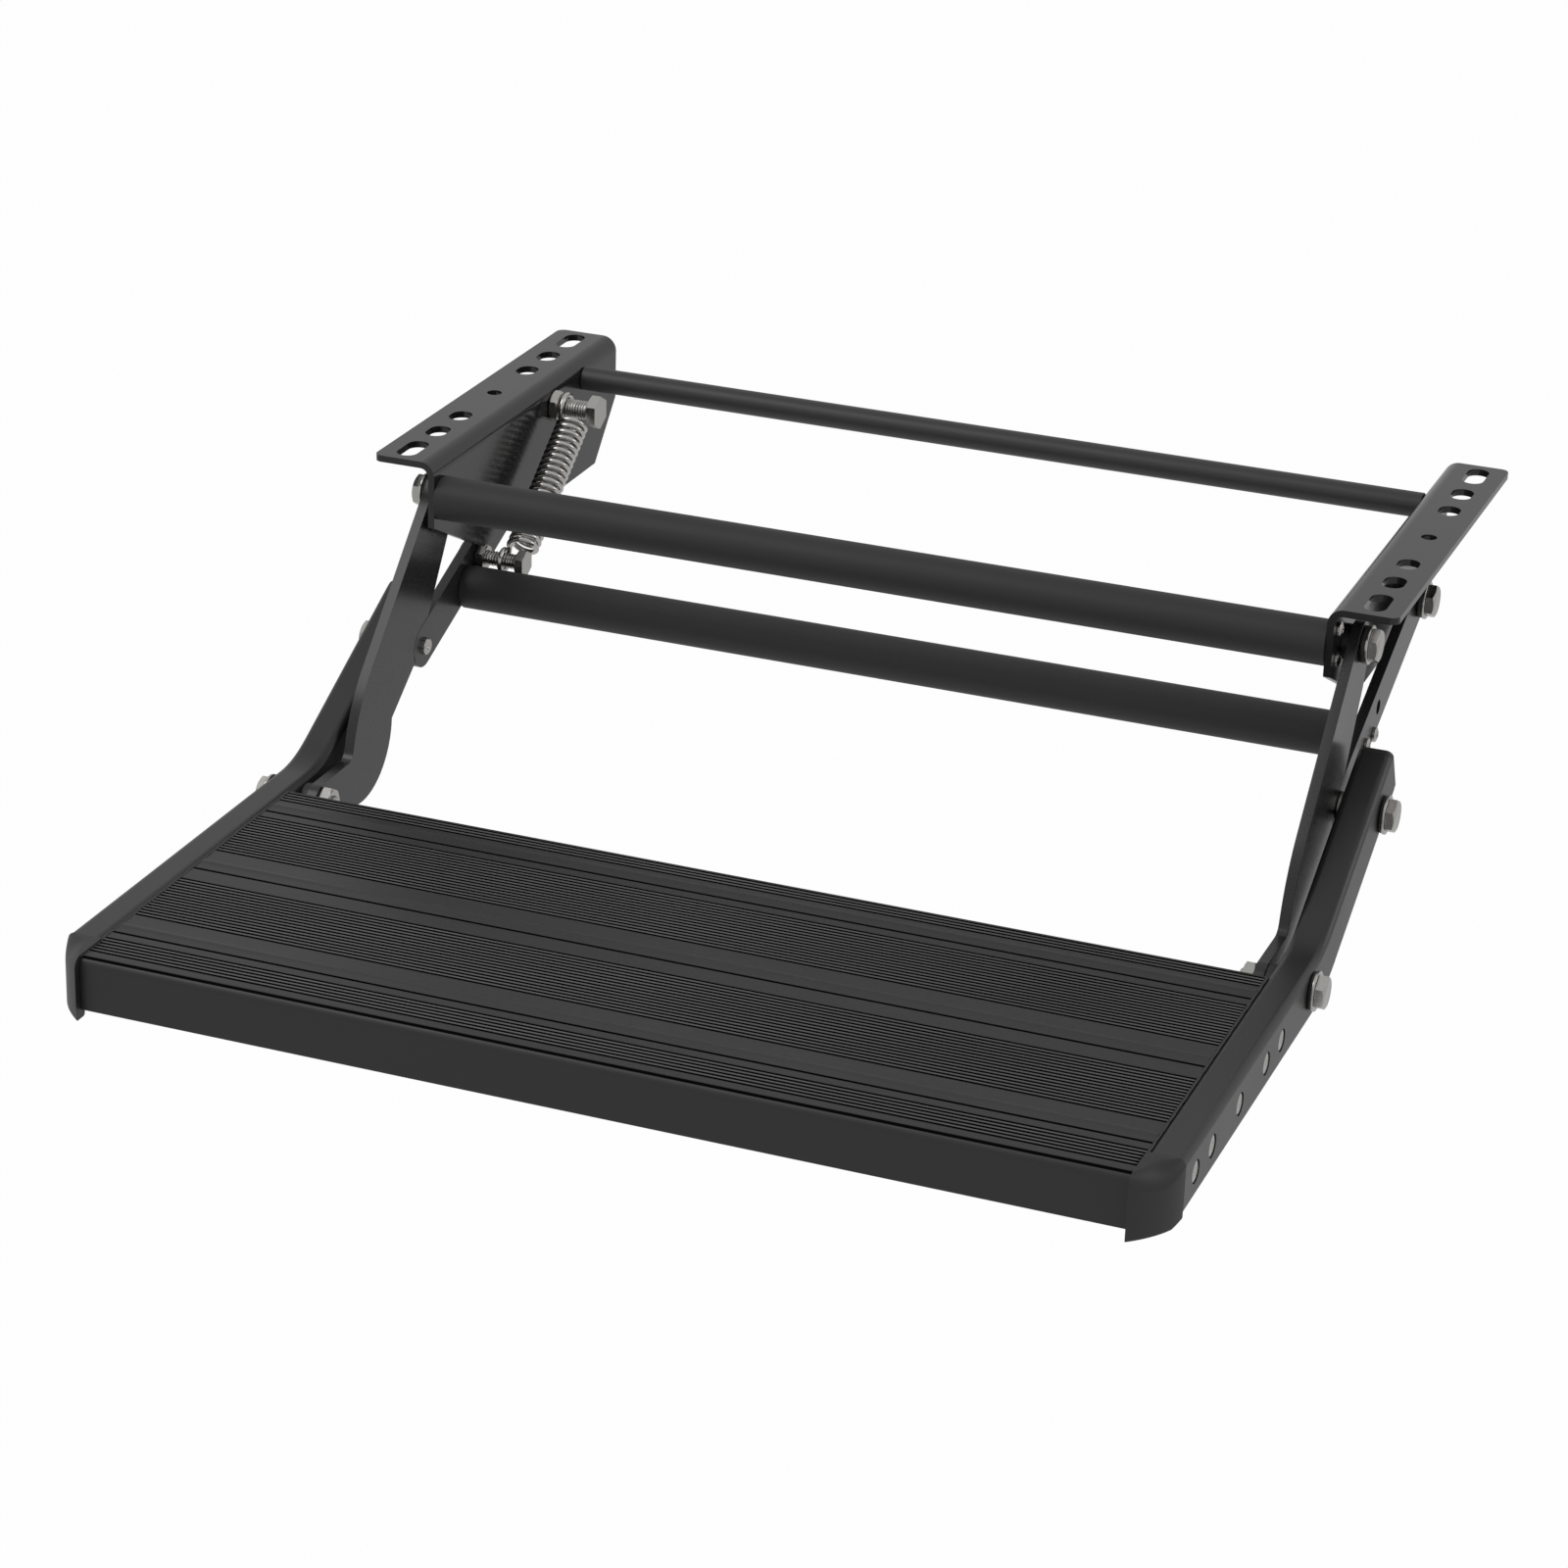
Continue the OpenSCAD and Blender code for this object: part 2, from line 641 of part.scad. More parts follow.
module groove_field(from, count) {
    for (i = [0 : count - 1]) groove(from + groove_pitch * i, groove_w, groove_h);
}

// Section of the tread board: grooved plate, front and rear walls, screw bosses.
module tread_section() {
    plate = tread_wall + groove_h * 0.6;
    first_field = 38;
    flat = 41;
    second_field = first_field + groove_pitch * (wide_field_grooves - 1) + flat;
    last_flat = 32;
    third_field = second_field + groove_pitch * (wide_field_grooves - 1) + last_flat;
    difference() {
        union() {
            translate([tread_front + nose_r, tread_top - plate]) square([tread_depth - nose_r, plate]);
            translate([tread_front, tread_top - tread_h]) square([tread_wall, tread_h - nose_r]);
            translate([tread_front, tread_top - nose_r]) intersection() {
                translate([nose_r, 0]) circle(r = nose_r);
                square([nose_r, nose_r]);
            }
            translate([tread_front + 1, tread_top - nose_r - 1]) square([nose_r + 1, nose_r - 1.5]);
            translate([tread_rear - tread_wall, tread_top - tread_h]) square([tread_wall, tread_h]);
            translate([tread_front, tread_top - tread_h]) square([14, tread_wall]);
            translate([tread_rear - 14, tread_top - tread_h]) square([14, tread_wall]);
            for (p = boss_list) translate([tread_front + boss_middle + p, rail_screw_z]) {
                circle(d = boss_d);
                translate([-tread_wall / 2, 0]) square([tread_wall, tread_top - rail_screw_z - plate / 2]);
            }
            for (at = [20.5, second_field - 25, third_field - 17])
                translate([tread_rear - at, tread_top - 9]) intersection() {
                    circle(r = 9.4);
                    translate([-4, 5]) square([8, 6]);
                }
        }
        for (p = boss_list) translate([tread_front + boss_middle + p, rail_screw_z]) circle(d = screw_d);
        groove_field(2.6, 4);
        groove_field(first_field, wide_field_grooves);
        groove_field(second_field, wide_field_grooves);
        groove_field(third_field, 6);
        for (at = [29.5, second_field - 15, third_field - 8]) groove(at, groove_w * 1.1, groove_h);
    }
}

module tread_board() {
    color([0.16, 0.16, 0.17]) side_view(-tread_half, 2 * tread_half) tread_section();
}

module rail_section(less) {
    round_box(rail_h - 2 * less, rail_w - 2 * less, max(rail_corner_r - less, 1));
}

// The rail sweep: straight part, bend and climbing tail, solid for less = 0.
module rail_sweep(less, over) {
    translate([rail_in + rail_w / 2, bend_y, bend_z]) rotate([0, 90, 0]) {
        translate([rail_bend_r, 0, 0]) rotate([90, 0, 0])
            linear_extrude(height = bend_y - rail_front + over) rail_section(less);
        rotate_extrude(angle = rail_climb) translate([rail_bend_r, 0]) rail_section(less);
        rotate([0, 0, rail_climb]) translate([rail_bend_r, -tail_lap, 0]) rotate([-90, 0, 0])
            linear_extrude(height = rail_tail + over + tail_lap) rail_section(less + tail_less);
    }
}

module side_rail() {
    difference() {
        rail_sweep(0, 0);
        rail_sweep(rail_wall, 1);
        for (p = [tread_pivot, link_pivot]) bar_x(rail_in - 1, rail_out + 1, p, bush_d + 2 * bolt_fit);
        for (b = boss_list) {
            place = [tread_front + boss_middle + b, rail_screw_z];
            bar_x(rail_in - 1, rail_out + 1, place, screw_d);
            translate([rail_out - rail_wall * 0.95, place[0], place[1]]) rotate([0, 90, 0])
                cylinder(h = rail_wall, d1 = screw_d, d2 = rail_screw_head + 2 * bolt_fit);
        }
    }
}

module side_rail_left() {
    color([0.3, 0.3, 0.31]) mirror([1, 0, 0]) side_rail();
}

module side_rail_right() {
    color([0.3, 0.3, 0.31]) side_rail();
}

module front_cap() {
    in = rail_in;
    out = rail_out + cap_lip;
    low = tread_top + 2 - cap_h;
    difference() {
        translate([0, 0, low]) linear_extrude(height = cap_h) {
            translate([in, cap_front + cap_r]) square([out - in, rail_front - cap_front - cap_r + 10]);
            translate([in, cap_front]) square([max(out - cap_r - in, 0.5), cap_r]);
            intersection() {
                translate([out - cap_r, cap_front + cap_r]) circle(r = cap_r);
                translate([in, cap_front]) square([out - in, cap_r]);
            }
        }
        translate([in - 1, rail_front - face_gap, rail_z - rail_h / 2 - face_gap])
            cube([rail_w + 1 + face_gap, 20, rail_h + 2 * face_gap]);
    }
    translate([rail_in + rail_wall + 2 * face_gap, rail_front - 1, rail_z - rail_h / 2 + rail_wall + 2 * face_gap])
        cube([rail_w - 2 * rail_wall - 4 * face_gap, 9, rail_h - 2 * rail_wall - 4 * face_gap]);
}

module front_cap_left() {
    color([0.08, 0.08, 0.08]) mirror([1, 0, 0]) front_cap();
}

module front_cap_right() {
    color([0.08, 0.08, 0.08]) front_cap();
}

module rail_end_caps() {
    color([0.05, 0.05, 0.05]) both_sides()
        translate([rail_in + rail_w / 2, bend_y, bend_z]) rotate([0, 90, 0]) rotate([0, 0, rail_climb])
            translate([rail_bend_r, 0, 0]) rotate([-90, 0, 0]) {
                translate([0, 0, rail_tail + face_gap]) linear_extrude(height = end_cap_t) rail_section(0.2);
                translate([0, 0, rail_tail - 8]) linear_extrude(height = 9)
                    round_box(rail_h - 2 * rail_wall - 2 * face_gap, rail_w - 2 * rail_wall - 2 * face_gap, 2);
            }
}

module rail_screws() {
    color([0.8, 0.8, 0.8]) both_sides() for (b = boss_list) {
        place = [tread_front + boss_middle + b, rail_screw_z];
        difference() {
            union() {
                bar_x(tread_half - 14, rail_out - 0.5, place, screw_d - 0.4);
                translate([rail_out - rail_wall * 0.9, place[0], place[1]]) rotate([0, 90, 0])
                    cylinder(h = rail_wall * 0.9, d1 = screw_d - 0.4, d2 = rail_screw_head);
            }
            driver_recess(rail_out, place);
        }
    }
}

// Start of the washer and of the bolt head outside the side rails.
lower_washer = rail_out + 2 * face_gap + lower_bush_t;
lower_head = lower_washer + washer_t + face_gap;

module lower_pivot_bolts() {
    color([0.82, 0.82, 0.8]) both_sides() {
        for (p = [tread_pivot, link_pivot]) hex_x(lower_head, lower_head + bolt_head_h, p, bolt_af);
        bar_x(arm_in - nut_h - 2.5, lower_head + 0.5, tread_pivot, bolt_d);
        bar_x(rail_in + 0.5, lower_head + 0.5, link_pivot, bolt_d);
    }
}

module lower_pivot_washers() {
    color([0.85, 0.85, 0.84]) both_sides() for (p = [tread_pivot, link_pivot])
        ring_x(lower_washer, lower_washer + washer_t, p, washer_d, bolt_d + 2 * bolt_fit);
}

module lower_pivot_bushes() {
    color([0.07, 0.07, 0.07]) both_sides() for (p = [tread_pivot, link_pivot]) difference() {
        union() {
            bar_x(rail_out + face_gap, rail_out + face_gap + lower_bush_t, p, bush_flange_d);
            bar_x(rail_in + 0.4, rail_out + 2 * face_gap, p, bush_d);
        }
        bar_x(rail_in - 1, rail_out + 5, p, bolt_d + 2 * bolt_fit);
    }
}

module lower_pivot_spacers() {
    color([0.07, 0.07, 0.07]) both_sides()
        ring_x(arm_out + 1.5 * face_gap, rail_in - face_gap, tread_pivot, spacer_d, bolt_d + 2 * bolt_fit);
}

module lower_pivot_nuts() {
    color([0.85, 0.85, 0.83]) both_sides() difference() {
        hex_x(arm_in - 1.5 * face_gap - nut_h, arm_in - 1.5 * face_gap, tread_pivot, bolt_af);
        bar_x(arm_in - 12, arm_in, tread_pivot, bolt_d + 2 * bolt_fit);
    }
}

bracket_left();
bracket_right();
rear_cross_rod();
front_cross_tube();
front_tube_screws();
upper_pivot_bolts();
upper_pivot_washers();
upper_pivot_bushes();
upper_pivot_spacers();
spring_upper_bolt();
spring_upper_nut();
extension_spring();
front_arm_left();
front_arm_right();
rear_arm_left();
rear_arm_right();
lower_cross_tube();
lower_tube_screws();
rear_arm_pins();
spring_lower_bolt();
spring_lower_nuts();
tread_board();
side_rail_left();
side_rail_right();
front_cap_left();
front_cap_right();
rail_end_caps();
rail_screws();
lower_pivot_bolts();
lower_pivot_washers();
lower_pivot_bushes();
lower_pivot_spacers();
lower_pivot_nuts();
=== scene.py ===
"""Looks of a folding entry step for a caravan or motorhome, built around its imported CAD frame."""

import json
import logging
import math
from collections.abc import Callable, Iterable, Sequence
from dataclasses import dataclass, field
from enum import Enum

import bmesh
import bpy
from mathutils import Matrix, Vector

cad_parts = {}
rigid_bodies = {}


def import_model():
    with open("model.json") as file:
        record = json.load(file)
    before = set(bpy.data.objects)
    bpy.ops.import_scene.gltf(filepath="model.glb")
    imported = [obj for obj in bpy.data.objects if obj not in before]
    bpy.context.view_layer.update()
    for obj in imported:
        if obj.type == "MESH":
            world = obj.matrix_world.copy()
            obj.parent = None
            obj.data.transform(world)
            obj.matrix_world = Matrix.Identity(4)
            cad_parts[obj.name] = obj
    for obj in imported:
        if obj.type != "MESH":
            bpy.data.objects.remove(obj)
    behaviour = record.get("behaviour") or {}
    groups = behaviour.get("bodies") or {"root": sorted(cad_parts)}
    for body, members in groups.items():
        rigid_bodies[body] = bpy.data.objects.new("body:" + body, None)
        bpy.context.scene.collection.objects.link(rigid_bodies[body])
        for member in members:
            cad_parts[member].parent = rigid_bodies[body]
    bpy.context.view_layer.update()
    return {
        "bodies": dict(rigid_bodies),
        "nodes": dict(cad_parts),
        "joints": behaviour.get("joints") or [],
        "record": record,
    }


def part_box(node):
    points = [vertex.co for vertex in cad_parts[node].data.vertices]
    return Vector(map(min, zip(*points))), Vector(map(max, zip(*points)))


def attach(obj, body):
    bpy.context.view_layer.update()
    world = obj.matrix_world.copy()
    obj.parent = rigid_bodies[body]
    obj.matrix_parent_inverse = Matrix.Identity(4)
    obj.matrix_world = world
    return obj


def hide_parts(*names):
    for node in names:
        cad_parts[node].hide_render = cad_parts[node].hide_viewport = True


LOG = logging.getLogger("step")
MM = 0.001


class Body(Enum):
    """The bodies that the pieces ride on."""

    FRAME = "bracket_frame"
    FRONT_ARMS = "front_arms"
    REAR_ARMS = "rear_arms"
    TREAD = "tread"


class Side(Enum):
    """The two sides of the step, as the sign of X."""

    LEFT = -1
    RIGHT = 1


class Sock:
    """A shader socket whose operators add Math nodes to its tree."""

    def __init__(self, tree: bpy.types.NodeTree, out: bpy.types.NodeSocket) -> None:
        """Keeps the tree and the output socket.

        Args:
            tree: The node tree that new nodes go into.
            out: The output socket that holds this value.
        """
        self.tree = tree
        self.out = out

    def _maths(self, operation: str, *values: "Sock | float") -> "Sock":
        """Adds one Math node.

        Args:
            operation: The Math operation.
            values: Its inputs in order, as sockets or numbers.

        Returns:
            The node's result.
        """
        node = self.tree.nodes.new("ShaderNodeMath")
        node.operation = operation
        for index, value in enumerate(values):
            if isinstance(value, Sock):
                self.tree.links.new(value.out, node.inputs[index])
            else:
                node.inputs[index].default_value = value
        return Sock(self.tree, node.outputs[0])

    def __add__(self, other: "Sock | float") -> "Sock":
        """Sum."""
        return self._maths("ADD", self, other)

    __radd__ = __add__

    def __mul__(self, other: "Sock | float") -> "Sock":
        """Product."""
        return self._maths("MULTIPLY", self, other)

    __rmul__ = __mul__

    def __sub__(self, other: "Sock | float") -> "Sock":
        """Difference."""
        return self._maths("SUBTRACT", self, other)

    def __rsub__(self, other: float) -> "Sock":
        """Difference with the number first."""
        return self._maths("SUBTRACT", other, self)

    def clamp(self, low: float, high: float) -> "Sock":
        """This value held between two limits."""
        return self._maths("MINIMUM", self._maths("MAXIMUM", self, low), high)


class MaterialTree:
    """A material and the one method that adds its nodes."""

    def __init__(self, name: str) -> None:
        """Makes an empty material.

        Args:
            name: The material's name.
        """
        self.material = bpy.data.materials.new(name)
        self.material.use_nodes = True
        self.tree = self.material.node_tree
        self.tree.nodes.clear()

    def node(self, kind: str, settings: dict | None = None, inputs: dict | None = None) -> bpy.types.Node:
        """Adds a node.

        Args:
            kind: The node's type, without ShaderNode in front.
            settings: Properties of the node; "stops" are the places and values of a ramp.
            inputs: Values or Sock links by socket name or index.

        Returns:
            The new node.
        """
        node = self.tree.nodes.new("ShaderNode" + kind)
        for key, value in (settings or {}).items():
            if key == "stops":
                for element, (place, shade) in zip(node.color_ramp.elements, value):
                    element.position = place
                    element.color = (shade, shade, shade, 1)
            else:
                setattr(node, key, value)
        for key, value in (inputs or {}).items():
            if isinstance(value, Sock):
                self.tree.links.new(value.out, node.inputs[key])
            else:
                node.inputs[key].default_value = value
        return node

    def value(self, kind: str, output: str | int, settings: dict | None = None,
              inputs: dict | None = None) -> Sock:
        """Adds a node and returns one of its outputs as a Sock."""
        return Sock(self.tree, self.node(kind, settings, inputs).outputs[output])

    def finish(self, shader: Sock) -> bpy.types.Material:
        """Links the shader to the output.

        Args:
            shader: The surface shader.

        Returns:
            The finished material.
        """
        self.node("OutputMaterial", inputs={"Surface": shader})
        return self.material


@dataclass(frozen=True)
class PaintedGrooveShade:
    """Painted shade within the grip grooves: a darker, matt surface laid over the groove walls and floors, where
    shade falls.
    """

    # Where the painted shade lies in the grip grooves, and how dark and matt it is.
    top: float = -151.12 * MM
    bottom: float = -152.7 * MM
    rear: float = -285.5 * MM
    front: float = -521.0 * MM
    blend: float = 0.05 * MM
    color: tuple[float, float, float, float] = (0.0015, 0.0015, 0.0015, 1)
    roughness: float = 0.85
    specular: float = 0.03

    def over(self, mat: MaterialTree, place: Sock, shader: Sock) -> Sock:
        """Lays the painted groove shade over a surface, where it lies within the grooves.

        Args:
            mat: The material's tree.
            place: Object coordinates.
            shader: The surface outside the grooves.

        Returns:
            The mixed surface.
        """
        split = mat.node("SeparateXYZ", inputs={"Vector": place})
        y, z = Sock(mat.tree, split.outputs["Y"]), Sock(mat.tree, split.outputs["Z"])
        steep = 1 / self.blend
        # Mask of the groove band below the tread's top, where the shade is painted.
        painted_shade_mask = (((self.top - z) * steep).clamp(0.0, 1.0) * ((z - self.bottom) * steep).clamp(0.0, 1.0)
                  * ((self.rear - y) * steep).clamp(0.0, 1.0) * ((y - self.front) * steep).clamp(0.0, 1.0))
        # The painted shade: a dark, matt surface mixed in over the grooves.
        painted_shade = mat.value("BsdfPrincipled", "BSDF", inputs={
            "Base Color": self.color, "Roughness": self.roughness, "Specular IOR Level": self.specular})
        return mat.value("MixShader", 0, inputs={0: painted_shade_mask, 1: shader, 2: painted_shade})


@dataclass(frozen=True)
class Finish:
    """One finish: colour, gloss and the grain that breaks it up."""

    name: str
    slot: str
    color: tuple[float, float, float]
    roughness: float
    metallic: float = 0.0
    specular: float = 0.5
    grain_scale: float = 900.0
    grain_stretch: tuple[float, float, float] = (1.0, 1.0, 1.0)
    grain_bump: float = 0.06
    roughness_spread: float = 0.08
    color_spread: float = 0.15
    cloud_scale: float = 14.0
    coat: float = 0.0
    coat_roughness: float = 0.2
    # Painted shade for the grip grooves, if the finish has it.
    grooves: PaintedGrooveShade | None = None

    def build(self) -> bpy.types.Material:
        """Builds the material from fine grain and slow clouds in object space.

        Returns:
            The material.
        """
        mat = MaterialTree(self.name)
        place = mat.value("TexCoord", "Object")
        stretched = mat.value("Mapping", "Vector", inputs={"Vector": place, "Scale": self.grain_stretch})
        grain = mat.value("TexNoise", "Fac", inputs={
            "Vector": stretched, "Scale": self.grain_scale, "Detail": 3.0, "Roughness": 0.6})
        clouds = mat.value("TexNoise", "Fac", inputs={
            "Vector": place, "Scale": self.cloud_scale, "Detail": 2.0, "Roughness": 0.5})
        shade = ((clouds - 0.5) * self.color_spread + (grain - 0.5) * self.color_spread + 0.5).clamp(0.0, 1.0)
        dark = tuple(c * (1 - self.color_spread) for c in self.color)
        light = tuple(min(c * (1 + self.color_spread), 1.0) for c in self.color)
        color = mat.node("Mix", {"data_type": "RGBA"}, {"Factor": shade})
        color.inputs[6].default_value = (*dark, 1)
        color.inputs[7].default_value = (*light, 1)
        rough = ((clouds - 0.5) * self.roughness_spread + (grain - 0.5) * self.roughness_spread
                 + self.roughness).clamp(0.05, 0.95)
        bump = mat.value("Bump", "Normal", inputs={
            "Height": grain, "Strength": self.grain_bump, "Distance": 0.2 * MM})
        shader = mat.value("BsdfPrincipled", "BSDF", inputs={
            "Base Color": Sock(mat.tree, color.outputs[2]), "Roughness": rough, "Normal": bump,
            "Metallic": self.metallic, "Specular IOR Level": self.specular,
            "Coat Weight": self.coat, "Coat Roughness": self.coat_roughness})
        # Mixes the painted groove shade over the surface.
        if self.grooves:
            shader = self.grooves.over(mat, place, shader)
        return mat.finish(shader)


COATED_SHEET = Finish("satin_black_coat", "frame_coat", (0.011, 0.011, 0.012), 0.17, grain_scale=1400,
                      grain_bump=0.03, roughness_spread=0.05)
COATED_ARM = Finish("satin_black_arm_coat", "arm_coat", (0.015, 0.015, 0.016), 0.27, grain_scale=1400,
                    grain_bump=0.05)
COATED_RAIL = Finish("satin_black_rail_coat", "rail_coat", (0.013, 0.013, 0.014), 0.36, grain_scale=1400,
                     grain_bump=0.08)
BLACK_TUBE = Finish("anodised_tube", "tube_anodised", (0.020, 0.020, 0.021), 0.58, specular=0.45,
                    grain_scale=700, grain_stretch=(0.05, 1.0, 1.0), grain_bump=0.12)
# A little lighter than the tube's colour: painted highlight for the rod's brighter top.
BLACK_ROD = Finish("anodised_rod", "tube_anodised", (0.026, 0.026, 0.027), 0.44, grain_scale=700,
                   grain_stretch=(0.05, 1.0, 1.0), grain_bump=0.10)
# The tread's finish carries painted shade in its grip grooves.
BLACK_TREAD = Finish("anodised_tread", "tread_anodised", (0.012, 0.012, 0.013), 0.44, grain_scale=700,
                     grain_stretch=(0.04, 1.0, 1.0), grain_bump=0.15, grooves=PaintedGrooveShade())
# The ridge tops' finish: far lighter than the tread's, a painted highlight on the crowned ridges.
RIDGE_PAINTED_HIGHLIGHT = Finish("worn_ridge", "tread_anodised", (0.088, 0.088, 0.090), 0.4, grain_scale=700,
                    grain_stretch=(0.04, 1.0, 1.0), grain_bump=0.10, color_spread=0.3)
BRIGHT_ZINC = Finish("bright_zinc", "zinc", (0.47, 0.46, 0.44), 0.24, metallic=1.0, grain_scale=500,
                     grain_bump=0.10, color_spread=0.1, roughness_spread=0.15)
DRAWN_WIRE = Finish("drawn_wire", "spring_wire", (0.52, 0.51, 0.49), 0.16, metallic=1.0, grain_scale=350,
                    grain_bump=0.08, color_spread=0.1, roughness_spread=0.1)
MOULDED_CAP = Finish("moulded_cap", "cap_plastic", (0.013, 0.013, 0.0135), 0.45, grain_scale=1100,
                     grain_bump=0.22)
MOULDED_BUSH = Finish("moulded_bush", "bush_plastic", (0.012, 0.012, 0.012), 0.5, grain_scale=1100,
                      grain_bump=0.15)
FINISHES = (COATED_SHEET, COATED_ARM, COATED_RAIL, BLACK_TUBE, BLACK_ROD, BLACK_TREAD, RIDGE_PAINTED_HIGHLIGHT, BRIGHT_ZINC, DRAWN_WIRE,
            MOULDED_CAP, MOULDED_BUSH)


class Workshop:
    """Makes finished pieces: materials, merged copies of CAD nodes and Geometry Nodes results."""

    def __init__(self, frame: dict) -> None:
        """Keeps the frame and builds every finish once.
        """
        self.nodes: dict[str, bpy.types.Object] = frame["nodes"]
        self.materials = {f.name: f.build() for f in FINISHES}

    def material(self, finish: Finish) -> bpy.types.Material:
        """The built material of a finish."""
        return self.materials[finish.name]

    def link(self, name: str, mesh: bpy.types.Mesh) -> bpy.types.Object:
        """Puts a mesh into the scene as an object at the origin."""
        obj = bpy.data.objects.new(name, mesh)
        bpy.context.scene.collection.objects.link(obj)
        return obj

    def dress_node(self, node: str, finish: Finish) -> None:
        """Gives a CAD node that stays in view its finish.

        Args:
            node: The CAD node.
            finish: The finish.
        """
        obj = self.nodes[node]
        obj.data.materials.clear()
        obj.data.materials.append(self.material(finish))
        LOG.info("%s keeps its CAD mesh, %s", node, finish.name)

    def register(self, obj: bpy.types.Object, body: Body, finish: Finish, *nodes: str) -> bpy.types.Object:
        """Rides a finished piece on its body in place of CAD nodes.

        Args:
            obj: The piece, at the origin.
            body: The body that it rides on.
            finish: Its finish; not used.
            nodes: The CAD nodes that it stands for.

        Returns:
            The piece.
        """
        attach(obj, body.value)
        if nodes:
            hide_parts(*nodes)
        LOG.info("%s rides on %s, %d faces", obj.name, body.value, len(obj.data.polygons))
        return obj

    def baked(self, obj: bpy.types.Object, name: str) -> bpy.types.Object:
        """Turns an object with modifiers into a plain mesh piece and removes the object.

        Args:
            obj: The object whose modifiers are applied.
            name: The new piece's name.

        Returns:
            The new piece.
        """
        depsgraph = bpy.context.evaluated_depsgraph_get()
        mesh = bpy.data.meshes.new_from_object(obj.evaluated_get(depsgraph), depsgraph=depsgraph)
        obj.modifiers.clear()
        bpy.data.objects.remove(obj)
        return self.link(name, mesh)

    def softened(self, node: str, body: Body, finish: Finish, width: float, segments: int = 2,
                 sharp: float = 32.0, cutter: bpy.types.Mesh | None = None) -> bpy.types.Object:
        """Stands a merged copy of a CAD node with rounded edges in its place.

        Args:
            node: The CAD node.
            body: The body that it rides on.
            finish: The finish.
            width: Width of the rounded edges.
            segments: Segments across a rounded edge.
            sharp: Angle in degrees above which an edge is rounded.
            cutter: What is cut out of the copy first.

        Returns:
            The new piece.
        """
        mesh = self.nodes[node].data.copy()
        work = bmesh.new()
        work.from_mesh(mesh)
        bmesh.ops.remove_doubles(work, verts=work.verts, dist=0.002 * MM)
        bmesh.ops.dissolve_limit(work, angle_limit=math.radians(0.4), verts=work.verts, edges=work.edges)
        for face in work.faces:
            face.smooth = True
        for edge in work.edges:
            edge.smooth = True
        work.to_mesh(mesh)
        work.free()
        mesh.materials.clear()
        mesh.materials.append(self.material(finish))
        obj = self.link(node + "_blank", mesh)
        if cutter:
            tool = self.link(node + "_cutter", cutter)
            cut = obj.modifiers.new("cut", "BOOLEAN")
            cut.operation = "DIFFERENCE"
            cut.solver = "EXACT"
            cut.object = tool
        self.rounded(obj, width, segments, sharp)
        piece = self.baked(obj, node + "_soft")
        if cutter:
            bpy.data.objects.remove(tool)
        return self.register(piece, body, finish, node)

    @staticmethod
    def rounded(obj: bpy.types.Object, width: float, segments: int, sharp: float) -> None:
        """Adds the modifier that rounds an object's sharp edges.

        Args:
            obj: The object.
            width: Width of the rounded edges.
            segments: Segments across a rounded edge.
            sharp: Angle in degrees above which an edge is rounded.
        """
        bevel = obj.modifiers.new("edges", "BEVEL")
        bevel.width = width
        bevel.segments = segments
        bevel.limit_method = "ANGLE"
        bevel.angle_limit = math.radians(sharp)
        bevel.use_clamp_overlap = True
        even = obj.modifiers.new("even", "WEIGHTED_NORMAL")
        even.mode = "FACE_AREA"
        even.weight = 100
        even.keep_sharp = True


def lathe(profile: Sequence[tuple[float, float]], steps: int = 48) -> bmesh.types.BMesh:
    """Turns a closed profile round the X axis.

    Args:
        profile: Points as (x, radius), in metres, in order round the section.
        steps: Segments round the axis.

    Returns:
        The closed ring as a bmesh.
    """
    work = bmesh.new()
    rings = [[work.verts.new((x, r * math.cos(a), r * math.sin(a))) for x, r in profile]
             for a in (2 * math.pi * i / steps for i in range(steps))]
    count = len(profile)
    for i in range(steps):
        near, far = rings[i], rings[(i + 1) % steps]
        for k in range(count):
            m = (k + 1) % count
            work.faces.new((near[k], near[m], far[m], far[k]))
    bmesh.ops.recalc_face_normals(work, faces=work.faces)
    return work


def rounded_section(x0: float, x1: float, r0: float, r1: float, edge: float) -> list[tuple[float, float]]:
    """A rectangular section with small round corners, as (x, radius) points."""
    corners = ((x1 - edge, r1 - edge, 0), (x0 + edge, r1 - edge, 90), (x0 + edge, r0 + edge, 180),
               (x1 - edge, r0 + edge, 270))
    return [(cx + edge * math.cos(math.radians(start + 30 * k)), cr + edge * math.sin(math.radians(start + 30 * k)))
            for cx, cr, start in corners for k in range(4)]


